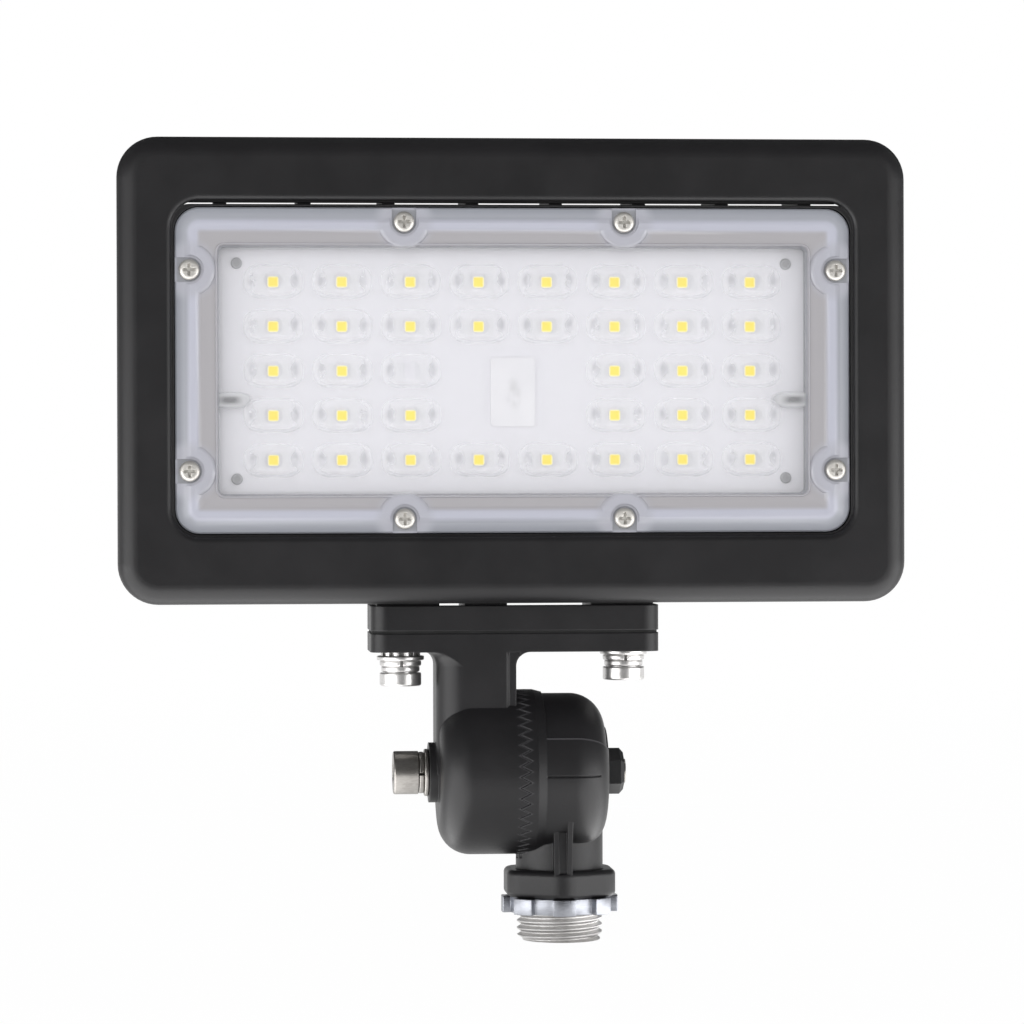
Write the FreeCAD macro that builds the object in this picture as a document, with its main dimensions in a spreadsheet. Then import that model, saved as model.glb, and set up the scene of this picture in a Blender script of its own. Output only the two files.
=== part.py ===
# Flood light: die-cast head with a lens plate, serrated tilt knuckle and threaded nipple
import FreeCAD
import Part
import Sketcher
import math
import os

os.makedirs("parts", exist_ok=True)
doc = FreeCAD.newDocument("flood_light")

# Lengths in millimetres. A name that ends in _y is a distance in front of the nipple axis.
SIZES = {
    # head: centre of its face, outside and front edge
    "head_x": -12.4,
    "head_z": 134.9,
    "head_w": 194.6,
    "head_h": 114.6,
    "head_r": 10.0,
    "face_y": 20.0,
    "face_t": 3.0,
    "skirt_d": 30.0,
    "skirt_t": 3.0,
    "edge_r": 5.0,
    "open_side": 0.9,
    "open_low": 0.8,
    "open_top": 1.75,
    "slot_lip": 0.5,
    "slot_lip_end": 2.6,
    "slot_lip_d": 1.5,
    "lip_r": 1.4,
    # tray that holds the light board
    "tray_lip": 0.5,
    "tray_wall": 2.85,
    "tray_sill": 3.1,
    "tray_y": 18.6,
    "seat_y": 16.2,
    "floor_y": 10.5,
    "back_y": 4.5,
    "cavity_gap": 1.0,
    "cavity_r": 4.0,
    "ledge_in": 2.4,
    "ledge_d": 1.0,
    "ledge_r": 6.0,
    "gasket_play": 0.2,
    # cooling fins
    "fin_count": 8,
    "fin_pitch": 20.6,
    "fin_t": 3.2,
    "fin_d": 27.0,
    "rib_t": 1.8,
    # driver box behind the tray
    "box_w": 104.0,
    "box_h": 58.0,
    "box_d": 28.5,
    "box_t": 2.5,
    "box_r": 7.0,
    "post_r": 4.2,
    "post_in": 5.2,
    "post_d": 14.0,
    "rear_gap": 0.8,
    "rear_t": 3.5,
    "rear_screw_r": 1.5,
    "rear_head_r": 2.9,
    "rear_head_h": 1.9,
    "rear_hole_fit": 0.2,
    "rear_tap_d": 8.0,
    "rear_edge_r": 1.5,
    "rear_border": 13.0,
    "rear_sunk": 1.0,
    "rear_sunk_r": 3.5,
    # foot below the head, and the flange of the arm under it
    "foot_w": 71.7,
    "foot_d": 24.0,
    "foot_r": 4.0,
    "foot_h": 6.2,
    "foot_dx": 0.7,
    "foot_gap": 0.7,
    "foot_relief": 0.6,
    "relief_y": 7.0,
    "pad_side_w": 15.5,
    "pad_side_x": 26.6,
    "pad_mid_w": 10.5,
    "pad_in": 2.0,
    "wire_x": -7.3,
    "wire_r": 3.5,
    "gasket_t": 0.7,
    "gasket_in": 0.4,
    "flange_t": 4.6,
    "bolt_gap": 56.0,
    # lens cover
    "cover_w": 166.3,
    "cover_h": 79.8,
    "cover_r": 6.0,
    "cover_y": 18.2,
    "cover_fit": 0.25,
    "ridge_in": 3.0,
    "ridge_w": 2.7,
    "ridge_h": 0.9,
    "trough_r": 5.0,
    "panel_w": 144.6,
    "panel_h": 60.3,
    "panel_r": 1.2,
    "panel_y": 15.4,
    "panel_t": 2.0,
    "wall_t": 1.1,
    "bead_t": 0.6,
    "bead_h": 0.5,
    "scallop_r": 4.2,
    "notch_w": 6.0,
    "notch_d": 0.5,
    "screw_x": 27.1,
    "screw_z": 24.6,
    "screw_in": 3.5,
    "screw_hole_r": 1.6,
    "tap_r": 1.25,
    "tap_d": 6.5,
    "dome_w": 14.5,
    "dome_h": 9.9,
    "dome_t": 3.1,
    "bulb_w": 5.0,
    "bulb_t": 1.6,
    "plain_w": 14.0,
    "plain_h": 21.4,
    "plain_z": -5.2,
    "plain_t": 0.7,
    "plain_r": 0.8,
    # light board
    "led_cols": 8,
    "led_rows": 5,
    "led_dx": 16.88,
    "led_dz": 10.97,
    "led_w": 3.0,
    "led_t": 0.7,
    "led_r": 0.3,
    "board_gap": 0.9,
    "board_t": 1.6,
    "slot_z": -7.2,
    "slot_h": 2.2,
    "slot_in": 6.6,
    "dot_x": 68.05,
    "dot_z": 26.55,
    "dot_r": 1.4,
    "dot_h": 0.9,
    "dot_shank_r": 0.9,
    "dot_tap_d": 3.0,
    "terminal_w": 11.0,
    "terminal_h": 17.0,
    "terminal_t": 1.1,
    "terminal_r": 0.8,
    "grommet_r": 3.0,
    "grommet_lip": 1.5,
    "grommet_lip_t": 1.2,
    # driver block
    "driver_play": 0.5,
    "driver_side": 7.5,
    "driver_t": 19.0,
    "driver_lift": 3.0,
    "driver_r": 2.0,
    "ear_w": 7.0,
    "ear_h": 10.0,
    "ear_t": 2.0,
    "foot_post_w": 10.0,
    "foot_post_h": 22.0,
    "driver_tap_d": 3.5,
    "driver_head_r": 2.4,
    "driver_head_h": 1.5,
    # knuckle
    "axis_z": 34.95,
    "face_x": -9.9,
    "tooth_count": 48,
    "tooth_d": 2.6,
    "tooth_gap": 0.24,
    "drum_r": 20.5,
    "drum_left": -30.5,
    "drum_round": 8.0,
    "stem_left": -31.2,
    "stem_gap": 0.4,
    "stem_round": 6.5,
    "stem_band": 1.7,
    "stem_step": 0.7,
    "stem_fillet": 3.5,
    "boss_r": 7.5,
    "boss_t": 2.3,
    "core_r": 12.4,
    "drum_wall": 6.5,
    "hub_wall": 6.25,
    "ring_in_r": 14.6,
    "ring_recess": 3.0,
    "ring_r": 20.65,
    "ring_w": 3.1,
    "ring_slope": 2.1,
    "hub_r": 20.1,
    "hub_right": 11.5,
    "hub_round": 9.0,
    "hub_step": 0.45,
    "hub_in": 0.05,
    "step_angle": 124.0,
    "seam_angle": 1.2,
    "seam_d": 0.35,
    "neck_r": 10.9,
    "collar_af": 27.2,
    "collar_round": 6.0,
    "collar_low": 4.1,
    "collar_h": 6.8,
    "collar_edge": 1.3,
    "rib_left": -2.55,
    "rib_w": 4.5,
    "rib_out": 14.3,
    "rib_top": -10.0,
    "rib_groove": 1.9,
    "rib_groove_d": 0.5,
    "ridge_out": 17.0,
    "ridge_top": -9.0,
    "bolt_r": 3.0,
    "bore_fit": 0.3,
    "seal_t": 1.3,
    "seal_fit": 0.35,
    # nipple and locknut
    "thread_r": 10.67,
    "thread_pitch": 1.814,
    "thread_d": 0.95,
    "thread_land": 0.3,
    "thread_len": 7.0,
    "thread_fade": 0.15,
    "relief_in": 0.17,
    "spigot_r": 9.4,
    "spigot_h": 10.0,
    "wireway_r": 7.9,
    "wireway_fit": 0.4,
    "nut_fit": 0.06,
    "lock_t": 4.0,
    "lock_r": 12.7,
    "lock_lug_r": 14.6,
    "lock_lugs": 8,
    "lock_lug_w": 5.2,
    # screws, bolts and washers
    "cap_r": 5.2,
    "cap_h": 4.9,
    "cap_round": 0.5,
    "cap_collar_r": 4.8,
    "cap_collar_h": 1.35,
    "cap_groove_r": 4.3,
    "cap_groove_w": 0.25,
    "rim_round": 0.35,
    "socket_af": 5.0,
    "socket_d": 2.4,
    "spring_r": 5.2,
    "spring_round": 0.5,
    "spring_t": 1.5,
    "spring_slit": 0.8,
    "washer_r": 5.9,
    "washer_t": 1.1,
    "star_r": 4.95,
    "star_t": 1.2,
    "star_teeth": 12,
    "star_notch": 1.4,
    "hole_fit": 0.3,
    "washer_fit": 0.15,
    "flange_bolt_len": 20.0,
    "foot_tap_d": 8.2,
    "axle_cap_r": 5.4,
    "axle_cap_h": 6.2,
    "axle_out": 0.45,
    "hex_nut_af": 10.0,
    "hex_nut_h": 4.6,
    "hex_nut_bevel": 1.0,
    "axle_play": 0.05,
    "axle_fit": 0.1,
    "pan_r": 2.55,
    "pan_h": 1.7,
    "pan_len": 7.5,
}

sheet = doc.addObject("Spreadsheet::Sheet", "sizes")
for row, (alias, number) in enumerate(SIZES.items(), start=1):
    sheet.set(f"A{row}", alias)
    sheet.set(f"B{row}", str(number))
    sheet.setAlias(f"B{row}", alias)
doc.recompute()


class Dim:
    """A size as a number and as the sheet expression that it comes from."""

    def __init__(self, value, text):
        self.value = float(value)
        self.text = text

    def __add__(self, other):
        other = dim(other)
        return Dim(self.value + other.value, f"({self.text} + {other.text})")

    def __radd__(self, other):
        return dim(other) + self

    def __sub__(self, other):
        other = dim(other)
        return Dim(self.value - other.value, f"({self.text} - {other.text})")

    def __rsub__(self, other):
        return dim(other) - self

    def __mul__(self, other):
        other = dim(other)
        return Dim(self.value * other.value, f"({self.text} * {other.text})")

    def __rmul__(self, other):
        return dim(other) * self

    def __truediv__(self, other):
        other = dim(other)
        return Dim(self.value / other.value, f"({self.text} / {other.text})")

    def __neg__(self):
        return Dim(-self.value, f"(0 - {self.text})")


def dim(size):
    """A number or a Dim, as a Dim."""
    if isinstance(size, Dim):
        return size
    return Dim(size, f"({float(size)!r})")


class Sizes:
    """The cells of the sheet by their alias, each as a Dim."""

    def __getattr__(self, alias):
        return Dim(getattr(sheet, alias), f"sizes.{alias}")

    def whole(self, alias):
        """A count."""
        return round(float(getattr(sheet, alias)))


d = Sizes()


def bind(item, name, size):
    """Tie a property of an object to the sheet."""
    item.setExpression(name, dim(size).text)


class Profile:
    """A sketch on an origin plane of a body, with every point tied to the sheet."""

    def __init__(self, body, role, offset):
        self.body = body
        self.sketch = body.newObject("Sketcher::SketchObject", "profile")
        plane = next(f for f in body.Origin.OriginFeatures if f.Role == role)
        self.sketch.AttachmentSupport = [(plane, "")]
        self.sketch.MapMode = "FlatFace"
        bind(self.sketch, "AttachmentOffset.Base.z", offset)

    def hold(self, kind, *where, size):
        """One constraint whose datum comes from the sheet."""
        index = self.sketch.addConstraint(Sketcher.Constraint(kind, *where, size.value))
        bind(self.sketch, f"Constraints[{index}]", size)

    def hold_point(self, geo, end, x, y):
        self.hold("DistanceX", -1, 1, geo, end, size=dim(x))
        self.hold("DistanceY", -1, 1, geo, end, size=dim(y))

    def circle(self, x, y, radius):
        centre = FreeCAD.Vector(dim(x).value, dim(y).value, 0)
        shape = Part.Circle(centre, FreeCAD.Vector(0, 0, 1), dim(radius).value)
        geo = self.sketch.addGeometry(shape, False)
        self.hold_point(geo, 3, x, y)
        self.hold("Radius", geo, size=dim(radius))
        return self

    def outline(self, points, rounds=None):
        """A closed outline. rounds gives a radius for a square corner by its index."""
        rounds = rounds or {}
        points = [(dim(x), dim(y)) for x, y in points]
        runs = []
        for i, (x, y) in enumerate(points):
            before = points[i - 1]
            after = points[(i + 1) % len(points)]
            if i not in rounds:
                runs.append([(x, y), None])
                continue
            r = dim(rounds[i])
            ux, uy = heading(before, (x, y))
            vx, vy = heading((x, y), after)
            start = (x - r * ux, y - r * uy)
            end = (x + r * vx, y + r * vy)
            centre = (start[0] + r * vx, start[1] + r * vy)
            runs.append([start, (centre, r, ux * vy - uy * vx > 0)])
            runs.append([end, None])
        self.chain(runs)
        return self

    def chain(self, runs):
        """Lines and arcs from each start point to the next, joined end to end."""
        ends = []
        for i, (start, arc) in enumerate(runs):
            stop = runs[(i + 1) % len(runs)][0]
            a = FreeCAD.Vector(start[0].value, start[1].value, 0)
            b = FreeCAD.Vector(stop[0].value, stop[1].value, 0)
            if arc is None:
                geo = self.sketch.addGeometry(Part.LineSegment(a, b), False)
                first, last = 1, 2
            else:
                geo, first, last = self.arc(a, b, arc)
            self.hold_point(geo, first, *start)
            ends.append((geo, first, last))
        for i, (geo, first, last) in enumerate(ends):
            after = ends[(i + 1) % len(ends)]
            self.sketch.addConstraint(Sketcher.Constraint("Coincident", geo, last, after[0], after[1]))
        for (geo, first, last), (start, arc) in zip(ends, runs):
            if arc is not None:
                self.hold("Radius", geo, size=arc[1])

    def arc(self, a, b, arc):
        """An arc from a to b, which a sketch always keeps counter-clockwise."""
        (cx, cy), radius, left = arc
        centre = FreeCAD.Vector(cx.value, cy.value, 0)
        circle = Part.Circle(centre, FreeCAD.Vector(0, 0, 1), radius.value)
        begin, finish = (a, b) if left else (b, a)
        low = math.atan2(begin.y - centre.y, begin.x - centre.x)
        high = math.atan2(finish.y - centre.y, finish.x - centre.x)
        if high <= low:
            high += 2 * math.pi
        geo = self.sketch.addGeometry(Part.ArcOfCircle(circle, low, high), False)
        return (geo, 1, 2) if left else (geo, 2, 1)

    def rect(self, x, y, width, height, radius=None):
        """A rectangle about (x, y), with rounded corners where a radius is given."""
        x, y, w, h = dim(x), dim(y), dim(width) / 2, dim(height) / 2
        corners = [(x - w, y - h), (x + w, y - h), (x + w, y + h), (x - w, y + h)]
        rounds = None if radius is None else dict.fromkeys(range(4), radius)
        return self.outline(corners, rounds)

    def hexagon(self, x, y, across, flat_side):
        """A hexagon by its width across flats, with flats to the sides or above and below."""
        half = dim(across) / 2
        tip = half * (2 / math.sqrt(3))
        ring = []
        for step in range(6):
            turn = math.radians(60 * step + (30 if flat_side else 0))
            ring.append((dim(x) + tip * round(math.cos(turn), 9), dim(y) + tip * round(math.sin(turn), 9)))
        return self.outline(ring)


def heading(a, b):
    """The way from one outline point to the next, along one of the two axes."""
    dx, dy = b[0].value - a[0].value, b[1].value - a[1].value
    if abs(dx) > abs(dy):
        return (1 if dx > 0 else -1), 0
    return 0, (1 if dy > 0 else -1)


def new_body(label, x=0, y=0, z=0):
    """A body whose own origin stands at the given place."""
    body = doc.addObject("PartDesign::Body", label)
    body.Label = label
    for axis, size in zip("xyz", (x, y, z)):
        bind(body, f"Placement.Base.{axis}", size)
    return body


def head_body(label):
    return new_body(label, d.head_x, 0, d.head_z)


def knuckle_body(label):
    return new_body(label, 0, 0, d.axis_z)


def feature(kind, profile, **sizes):
    """A sketched feature of a body, with its sizes tied to the sheet."""
    item = profile.body.newObject(f"PartDesign::{kind}", kind.lower())
    item.Profile = profile.sketch
    for name, size in sizes.items():
        bind(item, name, size)
    profile.sketch.Visibility = False
    return item


def add_slab(body, front, depth, draw):
    """Material from a plane that faces the front, going back."""
    profile = Profile(body, "XZ_Plane", front)
    draw(profile)
    feature("Pad", profile, Length=depth).Reversed = True


def cut_slab(body, front, depth, draw):
    """A cut from a plane that faces the front, going back."""
    profile = Profile(body, "XZ_Plane", front)
    draw(profile)
    return feature("Pocket", profile, Length=depth)


def add_layer(body, low, height, draw):
    """Material from a level plane, going up."""
    profile = Profile(body, "XY_Plane", low)
    draw(profile)
    feature("Pad", profile, Length=height)


def cut_layer(body, top, depth, draw):
    """A cut from a level plane, going down."""
    profile = Profile(body, "XY_Plane", top)
    draw(profile)
    return feature("Pocket", profile, Length=depth)


def add_side(body, left, length, draw):
    """Material from a plane that faces the side, going to the right."""
    profile = Profile(body, "YZ_Plane", left)
    draw(profile)
    feature("Pad", profile, Length=length)


def cut_side(body, right, length, draw):
    """A cut from a plane that faces the side, going to the left."""
    profile = Profile(body, "YZ_Plane", right)
    draw(profile)
    return feature("Pocket", profile, Length=length)


def turn(body, points, axis, rounds=None, kind="Revolution"):
    """An outline in the upright plane turned about its H_Axis or V_Axis."""
    profile = Profile(body, "XZ_Plane", 0)
    profile.outline(points, rounds)
    item = feature(kind, profile)
    item.ReferenceAxis = (profile.sketch, [axis])
    return item


def dress(body, kind, name, size, wanted):
    """A fillet or chamfer of the edges that the test accepts."""
    doc.recompute()
    base = body.Tip
    edges = [f"Edge{i}" for i, edge in enumerate(base.Shape.Edges, start=1) if wanted(edge)]
    item = body.newObject(f"PartDesign::{kind}", kind.lower())
    item.Base = (base, edges)
    bind(item, name, size)


def near(a, b):
    return abs(a - b) < 1e-4


def level(edge, axis, place):
    """Whether an edge lies in a plane square to the named axis."""
    box = edge.BoundBox
    low, high = getattr(box, f"{axis}Min"), getattr(box, f"{axis}Max")
    return near(low, place.value) and near(high, place.value)


def copies(label, master, places):
    """One node made of the same solid at several places."""
    shapes = []
    for place in places:
        shape = master.Shape.copy()
        shape.Placement = place.multiply(shape.Placement)
        shapes.append(shape)
    group = doc.addObject("Part::Feature", label)
    group.Shape = Part.makeCompound(shapes)
    group.Placement = FreeCAD.Placement()
    group.Label = label
    return group


def at(x, y, z):
    """A place without a turn."""
    spot = FreeCAD.Vector(dim(x).value, dim(y).value, dim(z).value)
    return FreeCAD.Placement(spot, FreeCAD.Rotation())


def fin_places():
    count = d.whole("fin_count")
    return [d.fin_pitch * (i - (count - 1) / 2) for i in range(count)]


def screw_places():
    """The cover's eight screws, as x and z from the middle of the head."""
    side = d.cover_w / 2 - d.screw_in
    top = d.cover_h / 2 - d.screw_in
    spots = []
    for sign in (-1, 1):
        for other in (-1, 1):
            spots.append((d.screw_x * sign, top * other))
            spots.append((side * sign, d.screw_z * other))
    return spots


def rear_places():
    """The rear cover's six screws: four corners and two in the middle."""
    x = d.box_w / 2 - d.post_in
    z = d.box_h / 2 - d.post_in
    return [(x * sx, z * sz) for sx in (-1, 0, 1) for sz in (-1, 1)]


def lens_places():
    """Every lens dome, as x and z from the middle of the head, with its row and column."""
    cols, rows = d.whole("led_cols"), d.whole("led_rows")
    plain = (rows // 2, rows // 2 + 1)
    middle = (cols // 2 - 1, cols // 2)
    spots = []
    for row in range(rows):
        for col in range(cols):
            if row in plain and col in middle:
                continue
            x = d.led_dx * (col - (cols - 1) / 2)
            z = d.led_dz * ((rows - 1) / 2 - row)
            spots.append((x, z, row, col))
    return spots


# reach of one solid into the next, room past the ends of a cut, and what a screw stops short of its hole
OVERLAP = 0.5
SPARE = 1.0
SHORT = 0.5
# a cross recess as shares of its screw head
CROSS_LONG = 1.15
CROSS_WIDE = 0.3
CROSS_DEEP = 0.55
CROWN_ROUND = 0.6
# level of the foot block and of the arm's flange, from the middle of the head
FOOT_TOP = -(d.head_h / 2) - d.foot_gap
FOOT_LOW = FOOT_TOP - d.foot_h
FLANGE_TOP = FOOT_LOW - d.gasket_t
FLANGE_LOW = FLANGE_TOP - d.flange_t
TRAY_SIDE = d.cover_w / 2 + d.tray_wall
TRAY_LOW = d.cover_h / 2 + d.tray_sill
TRAY_TOP = d.cover_h / 2 + d.cover_fit + d.tray_lip
TRAY_R = d.cover_r + d.cover_fit + d.tray_lip
BOX_BACK = d.back_y - d.box_d
# sizes that follow a neighbour: cavity and board the panel, driver its box, knuckle its serrated face
CAVITY_W = d.panel_w + 2 * (d.wall_t + d.cavity_gap)
CAVITY_H = d.panel_h + 2 * (d.wall_t + d.cavity_gap)
LEDGE_W = CAVITY_W + 2 * d.ledge_in
LEDGE_H = CAVITY_H + 2 * d.ledge_in
BOARD_W = CAVITY_W - 2 * d.board_gap
BOARD_H = CAVITY_H - 2 * d.board_gap
DRIVER_W = d.box_w - 2 * (d.box_t + d.driver_play + d.ear_w)
DRIVER_H = d.box_h - 2 * (d.box_t + d.driver_side)
STEM_RIGHT = d.face_x - d.tooth_d / 2 - d.stem_gap
RING_RIGHT = d.face_x + d.ring_w
CORE_LEFT = d.drum_left + d.drum_wall
CORE_RIGHT = d.hub_right - d.hub_wall
HALF_WAY = round(math.sqrt(0.5), 9)
AXLE_END = d.hub_right + d.hex_nut_h + d.axle_out
RELIEF_R = d.thread_r - d.relief_in
EAR_X = DRIVER_W / 2 + d.ear_w / 2
FOOT_X = d.head_x + d.foot_dx


def make_housing():
    """Frame, tray, fins, driver box and foot as one casting."""
    body = head_body("housing")
    add_slab(body, d.face_y, d.skirt_d, lambda p: p.rect(0, 0, d.head_w, d.head_h, d.head_r))
    dress(body, "Fillet", "Radius", d.edge_r, lambda e: level(e, "Y", -d.face_y))
    inside = (d.head_w - 2 * d.skirt_t, d.head_h - 2 * d.skirt_t, d.head_r - d.skirt_t)
    cut_slab(body, d.face_y - d.face_t, d.skirt_d, lambda p: p.rect(0, 0, *inside))
    side = d.cover_w / 2 + d.open_side
    low, high = -(d.cover_h / 2) - d.open_low, d.cover_h / 2 + d.open_top
    corner = d.cover_r + d.open_side

    def opening(profile):
        profile.rect(0, (low + high) / 2, 2 * side, high - low, corner)

    cut_slab(body, d.face_y, d.face_t, opening)

    def lip(edge):
        box = edge.BoundBox
        within = box.XMax < side.value + 0.01 and box.XMin > -side.value - 0.01
        return within and level(edge, "Y", -d.face_y) and box.ZMax < high.value + 0.01

    dress(body, "Fillet", "Radius", d.lip_r, lip)
    # thin lip behind the top edge, which narrows the slot
    hang = d.slot_lip + OVERLAP
    lip_mid = high + OVERLAP - hang / 2
    lip_front = d.face_y - d.face_t + OVERLAP
    lip_deep = OVERLAP + d.slot_lip_d
    lip_w = 2 * (side - corner + d.slot_lip_end)
    add_slab(body, lip_front, lip_deep, lambda p: p.rect(0, lip_mid, lip_w, hang))

    # tray, joined to the frame on three sides with an open slot along the top
    def tray(profile):
        profile.rect(0, (TRAY_TOP - TRAY_LOW) / 2, 2 * TRAY_SIDE, TRAY_TOP + TRAY_LOW, TRAY_R)

    add_slab(body, d.tray_y, d.tray_y - d.back_y, tray)
    fit = 2 * d.cover_fit
    rebate = (d.cover_w + fit, d.cover_h + fit, d.cover_r + d.cover_fit)
    cut_slab(body, d.tray_y, d.tray_y - d.seat_y, lambda p: p.rect(0, 0, *rebate))
    ledge = (LEDGE_W, LEDGE_H, d.ledge_r)
    cut_slab(body, d.seat_y, d.ledge_d, lambda p: p.rect(0, 0, *ledge))
    cavity = (CAVITY_W, CAVITY_H, d.cavity_r)
    cut_slab(body, d.seat_y, d.seat_y - d.floor_y, lambda p: p.rect(0, 0, *cavity))

    # driver box with posts for the screws of its cover
    add_slab(body, d.back_y, d.box_d, lambda p: p.rect(0, 0, d.box_w, d.box_h, d.box_r))
    hollow = (d.box_w - 2 * d.box_t, d.box_h - 2 * d.box_t, d.box_r - d.box_t)
    cut_slab(body, d.back_y, d.box_d, lambda p: p.rect(0, 0, *hollow))

    def rear_circles(profile, radius):
        for x, z in rear_places():
            profile.circle(x, z, radius)

    add_slab(body, BOX_BACK + d.post_d, d.post_d, lambda p: rear_circles(p, d.post_r))
    rear_taps = cut_slab(body, BOX_BACK, d.rear_tap_d, lambda p: rear_circles(p, d.rear_screw_r))
    rear_taps.Reversed = True

    # threaded holes, drawn at the size of their screws
    def cover_taps(profile):
        for x, z in screw_places():
            profile.circle(x, z, d.tap_r)

    cut_slab(body, d.seat_y, d.tap_d, cover_taps)

    def floor_taps(profile):
        for sx in (-1, 1):
            for sz in (-1, 1):
                profile.circle(d.dot_x * sx, d.dot_z * sz, d.dot_shank_r)

    cut_slab(body, d.floor_y, d.dot_tap_d, floor_taps)
    cut_slab(body, d.floor_y, d.floor_y - d.back_y, lambda p: p.circle(0, d.plain_z, d.grommet_r))

    def driver_taps(profile):
        for sign in (-1, 1):
            profile.circle(EAR_X * sign, 0, d.tap_r)

    ear_taps = cut_slab(body, d.back_y, d.driver_tap_d, driver_taps)
    ear_taps.Reversed = True

    # side pads and the wire duct carry the foot block
    duct = d.foot_dx + d.wire_x
    pad_low = FOOT_TOP - SPARE

    def pads(profile):
        for sign in (-1, 1):
            profile.rect(d.foot_dx + d.pad_side_x * sign, 0, d.pad_side_w, d.foot_d - 2 * d.pad_in)
        profile.rect(duct, 0, d.pad_mid_w, d.foot_d - 2 * d.pad_in)

    add_layer(body, pad_low, -(d.head_h / 2) + d.skirt_t / 2 - pad_low, pads)
    add_layer(body, FOOT_LOW, d.foot_h, lambda p: p.rect(d.foot_dx, 0, d.foot_w, d.foot_d, d.foot_r))
    duct_top = -(d.box_h / 2) + d.box_t
    add_layer(body, FOOT_TOP, duct_top - FOOT_TOP, lambda p: p.circle(duct, 0, d.pad_mid_w / 2))

    def relief(profile):
        inner = d.pad_side_x - d.pad_side_w / 2
        near_side, far_side = d.wire_x - d.pad_mid_w / 2, d.wire_x + d.pad_mid_w / 2
        deep = d.foot_d / 2 + d.relief_y
        middle = d.foot_d / 2 - deep / 2
        profile.rect(d.foot_dx + (near_side - inner) / 2, middle, near_side + inner, deep)
        profile.rect(d.foot_dx + (far_side + inner) / 2, middle, inner - far_side, deep)

    cut_layer(body, FOOT_TOP, d.foot_relief, relief)

    def foot_taps(profile):
        for sign in (-1, 1):
            profile.circle(d.foot_dx + d.bolt_gap / 2 * sign, 0, d.bolt_r)

    bolt_taps = cut_layer(body, FOOT_LOW, d.foot_tap_d, foot_taps)
    bolt_taps.Reversed = True

    # fins: across the slot at the top, and down the back above, below and beside the box
    roof = d.head_h / 2 - d.skirt_t / 2
    bridge_low, bridge_sill = TRAY_TOP - OVERLAP, TRAY_LOW - OVERLAP

    def bridges(profile):
        for x in fin_places():
            profile.rect(x, (bridge_low + roof) / 2, d.fin_t, roof - bridge_low)
            profile.rect(x, -(bridge_sill + roof) / 2, d.fin_t, roof - bridge_sill)

    add_slab(body, d.face_y - d.face_t, d.fin_d, bridges)
    back_d = d.fin_d - (d.face_y - d.face_t - d.back_y)

    def back_fins(profile):
        fins = fin_places()
        ribs = [x - d.fin_pitch / 2 for x in fins] + [fins[-1] + d.fin_pitch / 2]
        for x, thick in [(x, d.fin_t) for x in fins] + [(x, d.rib_t) for x in ribs]:
            if abs(x.value) < d.box_w.value / 2:
                edge = d.box_h / 2 - OVERLAP
                profile.rect(x, (edge + TRAY_TOP) / 2, thick, TRAY_TOP - edge)
                profile.rect(x, -(edge + TRAY_LOW) / 2, thick, TRAY_LOW - edge)
            else:
                profile.rect(x, (TRAY_TOP - TRAY_LOW) / 2, thick, TRAY_TOP + TRAY_LOW)

    add_slab(body, d.back_y + OVERLAP, back_d + OVERLAP, back_fins)
    duct_end = duct_top + SPARE
    cut_layer(body, duct_end, duct_end - FOOT_LOW, lambda p: p.circle(duct, 0, d.wire_r))
    return body


def ring_slab(label, front, depth, outer, inner):
    """A flat frame: an outer outline with an inner one cut out."""
    body = head_body(label)
    add_slab(body, front, depth, lambda p: p.rect(0, 0, *outer))
    cut_slab(body, front, depth, lambda p: p.rect(0, 0, *inner))
    return body


def make_lens_gasket():
    play = d.gasket_play
    outer = (LEDGE_W - 2 * play, LEDGE_H - 2 * play, d.ledge_r - play)
    inner = (CAVITY_W + 2 * play, CAVITY_H + 2 * play, d.cavity_r)
    return ring_slab("lens_gasket", d.seat_y, d.ledge_d, outer, inner)


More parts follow.
